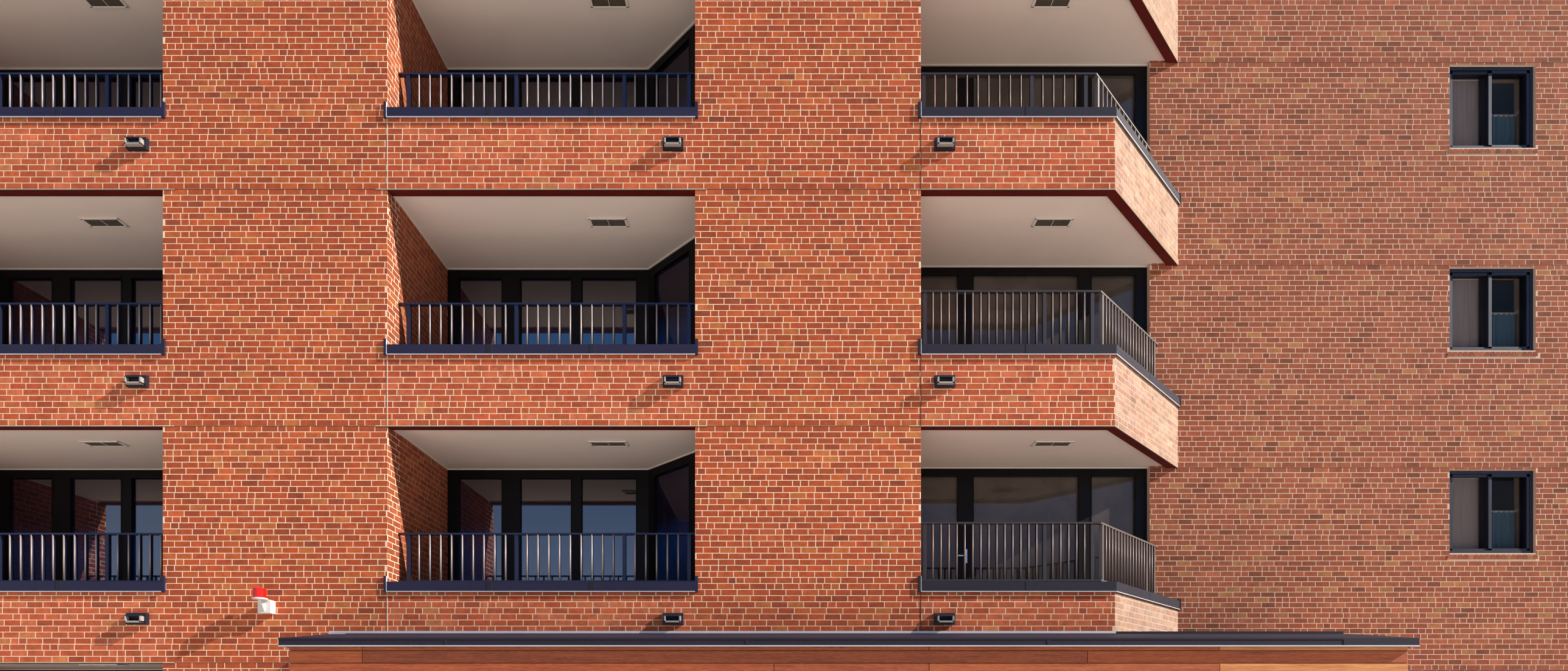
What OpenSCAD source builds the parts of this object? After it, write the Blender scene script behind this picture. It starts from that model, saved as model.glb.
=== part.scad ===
// A four storey brick apartment block: two recessed loggias and a corner
// balcony on the front, a wall set back beyond the corner, a timber clad
// entrance box at the foot, a flat roof behind a brick parapet.
// X runs along the front to the right, Y into the building, Z up from the
// ground. X = 0 and Y = 0 are the middle of the whole block's outline.

/* [Storeys] */
// Floor to floor height
storey_h = 2640; // [2500:10:3000]
// Number of storeys, the ground storey included
storeys = 4; // [3:1:5]
// Height of the brick parapet above the roof
parapet_h = 700; // [500:10:1100]

/* [Plan] */
// Width of the brick piers on the left and between the loggias
pier_w = 2505; // [1800:5:3200]
// Width of each loggia's opening
loggia_w = 3435; // [3000:5:4200]
// Width of the pier between the middle loggia and the corner balcony
right_pier_w = 2519; // [1800:1:3200]
// Width of the corner balcony's front, up to its angled side
corner_w = 2165; // [1900:5:2600]
// Distance from the front face back to the set back wall
set_back = 1455; // [1200:5:1455]
// Width of the set back wall, from the corner balcony to the right end
side_bay_w = 6264; // [5600:4:8000]
// Depth of the building, without the entrance box
depth = 11000; // [9000:100:13000]

/* [Walls and floors] */
// Thickness of the brick walls
wall_t = 300; // [260:10:360]
// Thickness of the brick spandrels in front of the balconies
leaf_t = 105; // [100:5:150]
// Thickness of the floor and roof slabs
slab_t = 200; // [160:10:260]
// Thickness of the ground slab
ground_t = 100; // [80:10:150]
// Depth of the loggias, from the brick face to the glazing
loggia_d = 1587; // [1400:1:1800]

/* [Balconies] */
// Top of the metal cap above the floor
cap_rise = 450; // [380:10:560]
// Height of the metal cap's face
cap_h = 115; // [80:5:150]
// How far the cap stands out from the brick
cap_proud = 22; // [10:1:40]
// Lowest brick of a spandrel below the floor that it fronts
lintel_drop = 450; // [440:5:500]
// Thickness of the steel lintel under the brick
lintel_t = 10; // [8:1:15]
// Underside of the soffit panel below the floor above
soffit_drop = 430; // [380:5:435]
// Thickness of the soffit panel
soffit_t = 30; // [12:1:40]
// Top of the railing above the floor
rail_rise = 1055; // [1000:5:1200]
// Extra height of the close set railing at the corner
tall_rail_extra = 110; // [0:10:200]
// Gap between the cap and the railings behind it
rail_gap = 118; // [60:2:160]
// Gap between the cap and the close set railing
close_gap = 56; // [20:2:90]
// Spacing of the railing bars
bar_pitch = 124; // [100:1:140]
// Spacing of the bars of the close set railing
close_pitch = 91; // [70:1:98]

/* [Glazing] */
// Depth of the window and door frames
frame_d = 80; // [60:5:100]
// Top of the balconies' glass below the floor above
head_drop = 530; // [490:10:640]
// Width of the windows in the plain walls
window_w = 1125; // [900:5:1400]
// Height of the windows in the plain walls
window_h = 1100; // [900:5:1300]
// Height of the window sills above the floor
sill_rise = 1060; // [900:10:1090]
// Number of windows on each storey of the back wall
back_windows_n = 6; // [4:1:8]

/* [Entrance box] */
// How far the box's roof reaches in front of the brick face
box_out = 935; // [800:5:1400]
// Underside of the box's roof edge below the first floor
box_drop = 350; // [340:5:400]
// Height of the roof edge's metal face
fascia_h = 80; // [60:5:110]
// How much the box's roof rises towards the brick
box_rise = 140; // [80:10:150]
// Thickness of the timber clad walls
timber_t = 100; // [80:10:140]
// Width of the entrance
entrance_w = 2000; // [1600:50:2400]
// Height of the entrance
entrance_h = 2030; // [1980:10:2040]

/* [Hidden] */

// Places along the front
total_w = 2 * pier_w + 2 * loggia_w + right_pier_w + corner_w + set_back + side_bay_w;
x_left = -total_w / 2;
x_l0 = x_left + pier_w;
x_l1 = x_l0 + loggia_w;
x_m0 = x_l1 + pier_w;
x_m1 = x_m0 + loggia_w;
x_c0 = x_m1 + right_pier_w;
x_c1 = x_c0 + corner_w;
x_b0 = x_c1 + set_back;
x_right = total_w / 2;
// Where the set back wall starts behind the corner balcony
jamb_inset = 366;
x_wall = x_b0 - jamb_inset;

// The metal coping on the parapet, and how far it stands out from the brick
coping_h = 80;
coping_over = 25;

// The whole outline is centred between the entrance box and the back
y_front = -(depth + coping_over - box_out) / 2;
y_back_in = depth - wall_t;
y_wall_in = set_back + wall_t;
corner_glass_set = 75;
y_glass = set_back + corner_glass_set;

// Heights
z_roof = storeys * storey_h;
z_parapet = z_roof + parapet_h;
box_eave = storey_h - box_drop;
door_head = storey_h - head_drop;

// Thickness of the metal sheet, and the slit between lengths of metal
sheet = 3;
slit = 1;

function floor_top(k) = k == 0 ? ground_t : k * storey_h;
function floor_under(k) = k == 0 ? 0 : k * storey_h - slab_t;
function soffit_z(k) = k * storey_h - soffit_drop;
function cap_top(k) = k * storey_h + cap_rise;
function brick_low(k) = k == 0 ? 0 : k * storey_h - lintel_drop;

// The corner balcony turns by 45 degrees. These points lie on its outline,
// moved d inwards from the brick face.
half_turn = tan(22.5);
function turn_point(d) = [x_c1 - d * half_turn, d];
function angled_point(d, y) = [x_c1 - d * half_turn + y - d, y];

module at_front() {
    translate([0, y_front, 0])
        children();
}

module block(x, y, z) {
    translate([x[0], y[0], z[0]])
        cube([x[1] - x[0], y[1] - y[0], z[1] - z[0]]);
}

module plate(points, z) {
    translate([0, 0, z[0]])
        linear_extrude(z[1] - z[0])
            polygon(points);
}

// A shape drawn in Y and Z and run along X
module run_x(points, x) {
    translate([x[0], 0, 0])
        rotate([90, 0, 90])
            linear_extrude(x[1] - x[0])
                polygon(points);
}

// Floors and roof

module interior_slabs() {
    color("silver")
        at_front()
            for (k = [0:storeys])
                block([x_left + wall_t, x_right - wall_t], [y_wall_in, y_back_in],
                      [floor_under(k), floor_top(k)]);
}

// The slabs reach the spandrels in the loggias and the piers between them
module loggia_slab_plan() {
    polygon([
        [x_left + wall_t, wall_t], [x_l0, wall_t], [x_l0, leaf_t], [x_l1, leaf_t],
        [x_l1, wall_t], [x_m0, wall_t], [x_m0, leaf_t], [x_m1, leaf_t],
        [x_m1, wall_t], [x_c0, wall_t], [x_c0, y_wall_in], [x_left + wall_t, y_wall_in]
    ]);
}

module loggia_slabs() {
    color("silver")
        at_front()
            for (k = [0:storeys])
                translate([0, 0, floor_under(k)])
                    linear_extrude(floor_top(k) - floor_under(k))
                        loggia_slab_plan();
}

module corner_slabs() {
    color("silver")
        at_front()
            for (k = [0:storeys])
                plate([[x_c0, leaf_t], turn_point(leaf_t), angled_point(leaf_t, set_back),
                       [x_wall, set_back], [x_wall, y_wall_in], [x_c0, y_wall_in]],
                      [floor_under(k), floor_top(k)]);
}

// Brick walls

module pier(x) {
    color("indianred")
        at_front()
            block(x, [0, wall_t], [0, z_parapet]);
}

module left_pier() {
    pier([x_left, x_l0]);
}

module middle_pier() {
    pier([x_l1, x_m0]);
}

module right_pier() {
    pier([x_m1, x_c0]);
}

// Brick returns on the left of each loggia and of the corner balcony
module loggia_side_walls() {
    color("indianred")
        at_front()
            for (k = [0:storeys - 1])
                for (side = [[x_l0 - wall_t, x_l0, loggia_d + frame_d],
                             [x_m0 - wall_t, x_m0, loggia_d + frame_d],
                             [x_c0 - wall_t, x_c0, y_wall_in]])
                    block([side[0], side[1]], [wall_t, side[2]], [floor_top(k), floor_under(k + 1)]);
}

module left_party_wall() {
    color("indianred")
        at_front()
            block([x_left, x_left + wall_t], [wall_t, y_back_in], [0, z_parapet]);
}

module right_party_wall() {
    color("indianred")
        at_front()
            block([x_right - wall_t, x_right], [y_wall_in, y_back_in], [0, z_parapet]);
}

function window_z(k) = [k * storey_h + sill_rise, k * storey_h + sill_rise + window_h];

// The windows' left edges, in the back wall and in the set back wall
back_bay = total_w / back_windows_n;
back_windows_x = [for (i = [0:back_windows_n - 1]) x_left + (i + 0.5) * back_bay - window_w / 2];
side_window_gap = 3541;
side_window_x = x_b0 + side_window_gap;

module back_wall() {
    color("indianred")
        at_front()
            difference() {
                block([x_left, x_right], [y_back_in, depth], [0, z_parapet]);
                for (k = [0:storeys - 1])
                    for (x = back_windows_x)
                        block([x, x + window_w], [y_back_in - 1, depth + 1], window_z(k));
            }
}

module set_back_wall() {
    color("indianred")
        at_front()
            difference() {
                block([x_wall, x_right], [set_back, y_wall_in], [0, z_parapet]);
                for (k = [0:storeys - 1])
                    block([side_window_x, side_window_x + window_w],
                          [set_back - 1, y_wall_in + 1], window_z(k));
            }
}

// Brick spandrels. The top one is the parapet, thicker above the roof.

function brick_high(k) = k == storeys ? z_parapet : cap_top(k) - sheet;

module straight_spandrel(x, k) {
    block(x, [0, leaf_t], [brick_low(k), brick_high(k)]);
    if (k == storeys)
        block(x, [0, wall_t], [z_roof, z_parapet]);
}

module left_spandrels() {
    color("indianred")
        at_front()
            for (k = [0:storeys])
                straight_spandrel([x_l0, x_l1], k);
}

module middle_spandrels() {
    color("indianred")
        at_front()
            for (k = [1:storeys])
                straight_spandrel([x_m0, x_m1], k);
}

function corner_band(d0, d1) = [[x_c0, d0], turn_point(d0), turn_point(d1), [x_c0, d1]];
function angled_band(d0, d1) =
    [turn_point(d0), angled_point(d0, set_back), angled_point(d1, set_back), turn_point(d1)];

module corner_spandrels() {
    color("indianred")
        at_front()
            for (k = [1:storeys]) {
                plate(corner_band(0, leaf_t), [brick_low(k), brick_high(k)]);
                if (k == storeys)
                    plate(corner_band(0, wall_t), [z_roof, z_parapet]);
            }
}

module angled_spandrels() {
    color("indianred")
        at_front()
            for (k = [1:storeys]) {
                plate(angled_band(0, leaf_t), [brick_low(k), brick_high(k)]);
                if (k == storeys)
                    plate(angled_band(0, wall_t), [z_roof, z_parapet]);
            }
}

// Metal caps, folded over the spandrels, with a hem along the lower edge that
// throws the rain off, and a turned up stop at each end

stop_w = 32;
stop_rise = 62;
wall_stop_rise = 24;
hem_out = 5;
hem_h = 9;

module cap_profile() {
    polygon([
        [-cap_proud, hem_h - cap_h], [-cap_proud, 0], [leaf_t + cap_proud, 0],
        [leaf_t + cap_proud, -cap_h], [leaf_t + cap_proud - sheet, -cap_h],
        [leaf_t + cap_proud - sheet, -sheet], [sheet - cap_proud, -sheet],
        [sheet - cap_proud, -cap_h], [-cap_proud - hem_out, -cap_h],
        [-cap_proud - hem_out, hem_h - cap_h]
    ]);
}

module straight_cap(x, k) {
    translate([x[0], 0, cap_top(k)])
        rotate([90, 0, 90])
            linear_extrude(x[1] - x[0])
                cap_profile();
}

// The stop lies on the pier's face beside the opening
module cap_stop(x, k) {
    block([x, x + stop_w], [-cap_proud, 0], [cap_top(k) - cap_h, cap_top(k) + stop_rise]);
}

module caps(x, levels) {
    color("darkslateblue")
        at_front()
            for (k = levels) {
                straight_cap(x, k);
                cap_stop(x[0] - stop_w, k);
                cap_stop(x[1], k);
            }
}

module left_caps() {
    caps([x_l0, x_l1], [0:storeys - 1]);
}

module middle_caps() {
    caps([x_m0, x_m1], [1:storeys - 1]);
}

// The corner caps meet at the turn, each open below like the straight ones
module corner_caps() {
    outer = -cap_proud;
    inner = leaf_t + cap_proud;
    color("darkslateblue")
        at_front()
            for (k = [1:storeys - 1]) {
                low = cap_top(k) - cap_h;
                difference() {
                    union() {
                        plate(corner_band(outer, inner), [low, cap_top(k)]);
                        plate(corner_band(outer - hem_out, outer + sheet), [low, low + hem_h]);
                    }
                    plate(corner_band(outer + sheet, inner - sheet), [low - 1, cap_top(k) - sheet]);
                }
                cap_stop(x_c0 - stop_w, k);
            }
}

// The angled caps end at a low stop on the set back wall
module angled_caps() {
    outer = -cap_proud;
    inner = leaf_t + cap_proud;
    x_end = angled_point(outer, set_back)[0];
    color("darkslateblue")
        at_front()
            for (k = [1:storeys - 1]) {
                low = cap_top(k) - cap_h;
                difference() {
                    union() {
                        plate(angled_band(outer, inner), [low, cap_top(k)]);
                        plate(angled_band(outer - hem_out, outer + sheet), [low, low + hem_h]);
                    }
                    plate(angled_band(outer + sheet, inner - sheet), [low - 1, cap_top(k) - sheet]);
                }
                block([x_end - stop_w, x_end], [set_back - cap_proud, set_back],
                      [low, cap_top(k) + wall_stop_rise]);
            }
}

// Steel lintels carry the lowest bricks of each spandrel
module lintels() {
    color("maroon")
        at_front()
            for (k = [1:storeys]) {
                z = [brick_low(k) - lintel_t, brick_low(k)];
                block([x_l0, x_l1], [0, leaf_t], z);
                block([x_m0, x_m1], [0, leaf_t], z);
                plate(corner_band(0, leaf_t), z);
                translate([slit, slit, 0])
                    plate([turn_point(0), angled_point(0, set_back - slit),
                           angled_point(leaf_t, set_back - slit), turn_point(leaf_t)], z);
            }
}

// Soffits

back_len = 2655;
screen_run = loggia_d - wall_t;

module loggia_soffit(x0, x1, k) {
    plate([[x0, leaf_t], [x1, leaf_t], [x1, wall_t], [x0 + back_len + screen_run, wall_t],
           [x0 + back_len, loggia_d], [x0, loggia_d]],
          [soffit_z(k), soffit_z(k) + soffit_t]);
}

module soffit_panels() {
    color("rosybrown")
        at_front() {
            for (k = [1:storeys])
                loggia_soffit(x_l0, x_l1, k);
            for (k = [2:storeys])
                loggia_soffit(x_m0, x_m1, k);
            for (k = [2:storeys])
                plate([[x_c0, leaf_t], turn_point(leaf_t), angled_point(leaf_t, set_back),
                       [x_wall, set_back], [x_wall, y_glass], [x_c0, y_glass]],
                      [soffit_z(k), soffit_z(k) + soffit_t]);
        }
}

// Air grilles under the soffits: a thin plate with rows of slots
grille_w = 430;
grille_d = 153;
grille_t = 12;
grille_y = 528;
grille_rim = 22;
grille_back = 4;
slot_rows = 5;
slot_d = 12;
slot_pitch = (grille_d - 2 * grille_rim - slot_d) / (slot_rows - 1);
// From the left reveal to the grille, in each column of balconies
left_grille_gap = 2043;
middle_grille_gap = 2123;
corner_grille_gap = 1469;

module grille(x, k) {
    z = soffit_z(k) - grille_t;
    difference() {
        block([x, x + grille_w], [grille_y, grille_y + grille_d], [z, soffit_z(k)]);
        for (i = [0:slot_rows - 1]) {
            y = grille_y + grille_rim + i * slot_pitch;
            block([x + grille_rim, x + grille_w - grille_rim], [y, y + slot_d],
                  [z - 1, soffit_z(k) - grille_back]);
        }
    }
}

module soffit_grilles() {
    color("gainsboro")
        at_front() {
            for (k = [1:storeys])
                grille(x_l0 + left_grille_gap, k);
            for (k = [2:storeys]) {
                grille(x_m0 + middle_grille_gap, k);
                grille(x_c0 + corner_grille_gap, k);
            }
        }
}

// Railings: posts that stand on the floor, flat bars on edge between two rails

post_w = 40;
bar_w = 18;
bar_d = 32;
rail_bar = 20;
rail_d = 50;
low_rail = 40;
rail_set = leaf_t + cap_proud + rail_gap + rail_d / 2;
close_set = leaf_t + cap_proud + close_gap + rail_d / 2;
// From the reveal to the first post, and how many bars a post comes after
loggia_first = 114;
corner_first = 82;
angled_first = 30;
loggia_every = 10;
close_every = 15;

function low_rail_z(k) = [cap_top(k) + low_rail, cap_top(k) + low_rail + rail_bar];
function high_rail_z(k, rise) = [k * storey_h + rise - rail_bar, k * storey_h + rise];

// The posts and bars of a railing along X, a post at both ends and after every
// few bars
module rail_bars(len, pitch, rise, k, first, every) {
    z0 = low_rail_z(k)[0];
    z1 = high_rail_z(k, rise)[1];
    n = floor((len - first) / pitch);
    for (i = [0:n])
        if (i % every == 0 || i == n)
            translate([first + i * pitch - post_w / 2, -post_w / 2, floor_top(k)])
                cube([post_w, post_w, z1 - floor_top(k) - rail_bar / 2]);
        else
            translate([first + i * pitch - bar_w / 2, -bar_d / 2, z0])
                cube([bar_w, bar_d, z1 - z0 - rail_bar / 2]);
}

module loggia_railing(x0, x1, k) {
    for (z = [low_rail_z(k), high_rail_z(k, rail_rise)])
        block([x0, x1], [rail_set - rail_d / 2, rail_set + rail_d / 2], z);
    translate([x0, rail_set, 0])
        rail_bars(x1 - x0, bar_pitch, rail_rise, k, loggia_first, loggia_every);
}

module left_railings() {
    color("midnightblue")
        at_front()
            for (k = [0:storeys - 1])
                loggia_railing(x_l0, x_l1, k);
}

module middle_railings() {
    color("midnightblue")
        at_front()
            for (k = [1:storeys - 1])
                loggia_railing(x_m0, x_m1, k);
}

// The corner railing turns with the balcony, its rails mitred. The lower ones
// are taller, closer set and nearer to the cap.
function is_close(k) = k < storeys - 1;
function corner_set(k) = is_close(k) ? close_set : rail_set;
function corner_pitch(k) = is_close(k) ? close_pitch : bar_pitch;
function corner_rise(k) = is_close(k) ? rail_rise + tall_rail_extra : rail_rise;
function corner_every(k) = is_close(k) ? close_every : loggia_every;
function rail_turn(k) = turn_point(corner_set(k));
function angled_len(k) = (set_back - corner_set(k)) * sqrt(2);

module corner_railings() {
    color("midnightblue")
        at_front()
            for (k = [1:storeys - 1]) {
                for (z = [low_rail_z(k), high_rail_z(k, corner_rise(k))])
                    plate(corner_band(corner_set(k) - rail_d / 2, corner_set(k) + rail_d / 2), z);
                translate([x_c0, corner_set(k), 0])
                    rail_bars(rail_turn(k)[0] - x_c0, corner_pitch(k), corner_rise(k), k,
                              corner_first, corner_every(k));
            }
}

module angled_railings() {
    color("midnightblue")
        at_front()
            for (k = [1:storeys - 1]) {
                for (z = [low_rail_z(k), high_rail_z(k, corner_rise(k))])
                    plate(angled_band(corner_set(k) - rail_d / 2, corner_set(k) + rail_d / 2), z);
                translate([rail_turn(k)[0], rail_turn(k)[1], 0])
                    rotate([0, 0, 45])
                        translate([rail_d / 2, 0, 0])
                            rail_bars(angled_len(k) - rail_d, corner_pitch(k), corner_rise(k), k,
                                      angled_first, corner_every(k));
            }
}

// Glazing

frame_low = 90;

// A sheet of frame along X with openings for panes, drawn standing up
module frame_sheet(len, panes, k) {
    high = floor_under(k + 1) - floor_top(k);
    pane_high = k * storey_h + door_head - floor_top(k);
    rotate([90, 0, 0])
        translate([0, 0, -frame_d])
            linear_extrude(frame_d)
                difference() {
                    square([len, high]);
                    for (p = panes)
                        translate([p[0], frame_low])
                            square([p[1] - p[0], pane_high - frame_low]);
                }
}

glass_t = 12;

module glass_sheet(panes, k) {
    pane_high = k * storey_h + door_head - floor_top(k);
    for (p = panes)
        translate([p[0], (frame_d - glass_t) / 2, frame_low])
            cube([p[1] - p[0], glass_t, pane_high - frame_low]);
}

// Panes of the loggias' back glazing, measured from the left reveal
loggia_panes = [[129, 728], [943, 1643], [1752, back_len - 152]];
screen_len = screen_run * sqrt(2);
screen_stile = 110;
screen_mullion = 90;
screen_panes = [[screen_stile, (screen_len - screen_mullion) / 2],
                [(screen_len + screen_mullion) / 2, screen_len - screen_stile]];

module on_loggia_back(x0, k) {
    translate([x0, loggia_d, floor_top(k)])
        children();
}

// The angled screen stands on the right of each loggia
module on_screen(x0, k) {
    translate([x0 + back_len, loggia_d, floor_top(k)])
        rotate([0, 0, -45])
            children();
}

module loggia_frames() {
    color("black")
        at_front() {
            for (k = [0:storeys - 1])
                on_loggia_back(x_l0, k)
                    frame_sheet(back_len, loggia_panes, k);
            for (k = [1:storeys - 1])
                on_loggia_back(x_m0, k)
                    frame_sheet(back_len, loggia_panes, k);
        }
}

// Keeps the screens off the pier behind them
module screen_clip() {
    intersection() {
        children();
        block([x_left, x_right], [wall_t, depth], [0, z_roof]);
    }
}

module side_screens() {
    color("black")
        at_front() {
            for (k = [0:storeys - 1])
                screen_clip()
                    on_screen(x_l0, k)
                        frame_sheet(screen_len, screen_panes, k);
            for (k = [1:storeys - 1])
                screen_clip()
                    on_screen(x_m0, k)
                        frame_sheet(screen_len, screen_panes, k);
        }
}

// Panes of the corner balcony's glazing: a door, a large fixed pane, a light
corner_len = x_wall - x_c0;
corner_panes = [[134, 784], [964, corner_len - 884], [corner_len - 741, corner_len - 142]];

module on_corner_back(k) {
    translate([x_c0, y_glass, floor_top(k)])
        children();
}

module corner_frames() {
    color("black")
        at_front()
            for (k = [1:storeys - 1])
                on_corner_back(k)
                    frame_sheet(corner_len, corner_panes, k);
}

module balcony_glass() {
    color("slategray")
        at_front() {
            for (k = [0:storeys - 1]) {
                on_loggia_back(x_l0, k)
                    glass_sheet(loggia_panes, k);
                on_screen(x_l0, k)
                    glass_sheet(screen_panes, k);
            }
            for (k = [1:storeys - 1]) {
                on_loggia_back(x_m0, k)
                    glass_sheet(loggia_panes, k);
                on_screen(x_m0, k)
                    glass_sheet(screen_panes, k);
                on_corner_back(k)
                    glass_sheet(corner_panes, k);
            }
        }
}

// Lever handles on the corner balcony's doors: a plate, a round neck and a lever
handle_rise = 1050;
handle_plate = [36, 8, 180];
neck_r = 10;
neck_len = 48;
lever = [112, 13, 16];

module door_handles() {
    stile = (corner_panes[0][1] + corner_panes[1][0]) / 2;
    color("lightgray")
        at_front()
            for (k = [1:storeys - 1])
                translate([x_c0 + stile, y_glass, floor_top(k) + handle_rise]) {
                    translate([-handle_plate[0] / 2, -handle_plate[1], -handle_plate[2] / 2])
                        cube(handle_plate);
                    rotate([90, 0, 0])
                        cylinder(h = neck_len, r = neck_r, $fn = 32);
                    translate([-lever[0], sheet - neck_len, -lever[2] / 2])
                        cube(lever);
                }
}

// Windows in the plain walls: two sashes in one frame
sash_w = 55;
window_set = 90;

module window_frame() {
    half = (window_w - 3 * sash_w) / 2;
    rotate([90, 0, 0])
        translate([0, 0, -frame_d])
            linear_extrude(frame_d)
                difference() {
                    square([window_w, window_h]);
                    for (x = [sash_w, 2 * sash_w + half])
                        translate([x, sash_w])
                            square([half, window_h - 2 * sash_w]);
                }
}

module window_panes() {
    half = (window_w - 3 * sash_w) / 2;
    for (x = [sash_w, 2 * sash_w + half])
        translate([x, (frame_d - glass_t) / 2, sash_w])
            cube([half, glass_t, window_h - 2 * sash_w]);
}

module at_windows() {
    for (k = [0:storeys - 1]) {
        translate([side_window_x, set_back + window_set, window_z(k)[0]])
            children();
        for (x = back_windows_x)
            translate([x, depth - window_set - frame_d, window_z(k)[0]])
                children();
    }
}

module wall_windows() {
    color("dimgray")
        at_front()
            at_windows()
                window_frame();
}

module window_glass() {
    color("slategray")
        at_front()
            at_windows()
                window_panes();
}

// Brick on edge sills lie in the openings in front of the frames
sill_h = 15;

module window_sills() {
    color("firebrick")
        at_front()
            for (k = [0:storeys - 1]) {
                block([side_window_x, side_window_x + window_w],
                      [set_back, set_back + window_set], [window_z(k)[0], window_z(k)[0] + sill_h]);
                for (x = back_windows_x)
                    block([x, x + window_w], [depth - window_set, depth],
                          [window_z(k)[0], window_z(k)[0] + sill_h]);
            }
}

// Small hoods over the air outlets in the spandrels: a flat box with a weathered
// top, and a collar that stands out from it, hollow, with a flap inside
hood_w = 227;
hood_d = 45;
hood_h = 132;
hood_drop = 28;
hood_slope = 8;
hood_back = 14;
collar_w = 181;
collar_d = 45;
collar_h = 81;
collar_rise = 18;
collar_wall = 15;
flap_t = 8;
flap_reach = 34;
// From the opening's edge to the hood, in each column of balconies
left_hood_gap = 378;
middle_hood_gap = 357;
corner_hood_gap = 147;

module hood(x, k) {
    z = k * storey_h - hood_drop;
    x0 = x + (hood_w - collar_w) / 2;
    z0 = z + collar_rise;
    mouth_x = [x0 + collar_wall, x0 + collar_w - collar_wall];
    mouth_z = [z0 + collar_wall, z0 + collar_h - collar_wall];
    difference() {
        union() {
            run_x([[0, z], [-hood_d, z], [-hood_d, z + hood_h - hood_slope], [0, z + hood_h]],
                  [x, x + hood_w]);
            block([x0, x0 + collar_w], [-hood_d - collar_d, -hood_d], [z0, z0 + collar_h]);
        }
        block(mouth_x, [-hood_d - collar_d - 1, -hood_back], mouth_z);
    }
    run_x([[-hood_back, mouth_z[0] + flap_t], [-hood_back, mouth_z[0]],
           [-hood_back - flap_reach, mouth_z[1]], [flap_t - hood_back - flap_reach, mouth_z[1]]],
          mouth_x);
}

module vent_hoods() {
    color("darkslategray")
        at_front()
            for (k = [1:storeys - 1]) {
                hood(x_l1 - left_hood_gap, k);
                hood(x_m1 - middle_hood_gap, k);
                hood(x_c0 + corner_hood_gap, k);
            }
}

// Entrance box: timber clad walls, a roof with a metal edge, glazed doors

box_edge = 75;
box_front_edge = 65;
// How far the box reaches past the middle loggia and past the corner balcony
box_left_gap = 616;
box_right_gap = 1171;
x_box0 = x_m0 - box_left_gap;
x_box1 = x_b0 + box_right_gap;
y_box = -box_out + box_front_edge;
x_ent0 = (x_box0 + x_box1) / 2 - entrance_w / 2;

// The floor meets the ground slab in the openings between the piers
module porch_floor() {
    x0 = x_box0 + box_edge + timber_t;
    x1 = x_box1 - box_edge - timber_t;
    color("silver")
        at_front()
            plate([[x0, y_box + timber_t], [x1, y_box + timber_t], [x1, set_back],
                   angled_point(leaf_t, set_back), turn_point(leaf_t), [x_c0, leaf_t], [x_c0, 0],
                   [x_m1, 0], [x_m1, leaf_t], [x_m0, leaf_t], [x_m0, 0], [x0, 0]],
                  [0, ground_t]);
}

module timber_front() {
    color("sienna")
        at_front()
            difference() {
                block([x_box0 + box_edge, x_box1 - box_edge], [y_box, y_box + timber_t], [0, box_eave]);
                block([x_ent0, x_ent0 + entrance_w], [y_box - 1, y_box + timber_t + 1],
                      [-1, entrance_h]);
            }
}

module timber_sides() {
    color("sienna")
        at_front() {
            block([x_box0 + box_edge, x_box0 + box_edge + timber_t], [y_box + timber_t, 0],
                  [0, box_eave]);
            block([x_box1 - box_edge - timber_t, x_box1 - box_edge], [y_box + timber_t, set_back],
                  [0, box_eave]);
        }
}

// The roof leans against the brick and falls to the front
module box_roof() {
    color("darkslategray")
        at_front()
            run_x([[-box_out, box_eave], [0, box_eave], [0, box_eave + fascia_h + box_rise],
                   [-box_out, box_eave + fascia_h]],
                  [x_box0, x_box1]);
}

// The part of the roof beside the corner balcony reaches the set back wall
module box_roof_side() {
    color("darkslategray")
        at_front()
            plate([[x_c1, 0], [x_box1, 0], [x_box1, set_back], [x_b0, set_back]],
                  [box_eave, box_eave + fascia_h]);
}

// A metal flashing seals the box's roof to the brick
flash_h = 28;
flash_t = 25;
flash_over = 20;

module roof_flashing() {
    z = box_eave + fascia_h + box_rise;
    color("lightgray")
        at_front() {
            block([x_box0 - flash_over, x_c1], [-flash_t, 0], [z, z + flash_h]);
            block([x_c1, x_box1 - box_edge], [0, flash_t], [box_eave + fascia_h, z + flash_h]);
        }
}

door_bar = 90;

module entrance_leaf(x) {
    leaf_w = entrance_w / 2;
    translate([x, 0, ground_t])
        rotate([90, 0, 0])
            translate([0, 0, -frame_d])
                linear_extrude(frame_d)
                    difference() {
                        square([leaf_w, entrance_h - ground_t]);
                        translate([door_bar, door_bar])
                            square([leaf_w - 2 * door_bar, entrance_h - ground_t - 2 * door_bar]);
                    }
}

module entrance_doors() {
    color("black")
        at_front()
            translate([0, y_box + (timber_t - frame_d) / 2, 0]) {
                entrance_leaf(x_ent0);
                entrance_leaf(x_ent0 + entrance_w / 2);
                block([x_ent0, x_ent0 + entrance_w], [0, frame_d], [0, ground_t]);
            }
}

module entrance_glass() {
    leaf_w = entrance_w / 2;
    color("slategray")
        at_front()
            for (x = [x_ent0, x_ent0 + leaf_w])
                translate([x + door_bar, y_box + (timber_t - glass_t) / 2, ground_t + door_bar])
                    cube([leaf_w - 2 * door_bar, glass_t, entrance_h - ground_t - 2 * door_bar]);
}

// Alarm beacon on the middle pier

alarm_gap = 1118;
alarm_rise = 90;
alarm_box = 140;
alarm_box_d = 90;
alarm_reach = 160;
shelf_t = 8;
base_r = 75;
base_h = 15;
lens_r = 66;
lens_h = 107;
lens_dome = 18;
alarm_x = x_l1 + alarm_gap;
alarm_z = storey_h + alarm_rise;
alarm_mid = alarm_x + alarm_box / 2;

module alarm_bracket() {
    top = alarm_z + alarm_box;
    color("whitesmoke")
        at_front() {
            block([alarm_x, alarm_x + alarm_box], [-alarm_box_d, 0], [alarm_z, top]);
            block([alarm_x + base_h, alarm_x + alarm_box - base_h], [-alarm_reach, 0], [top, top + shelf_t]);
            run_x([[-alarm_box_d, alarm_z + base_h], [-alarm_box_d, top], [-alarm_reach, top]],
                  [alarm_mid - shelf_t, alarm_mid + shelf_t]);
            translate([alarm_mid, -alarm_reach, top])
                cylinder(h = base_h, r = base_r, $fn = 64);
        }
}

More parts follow.
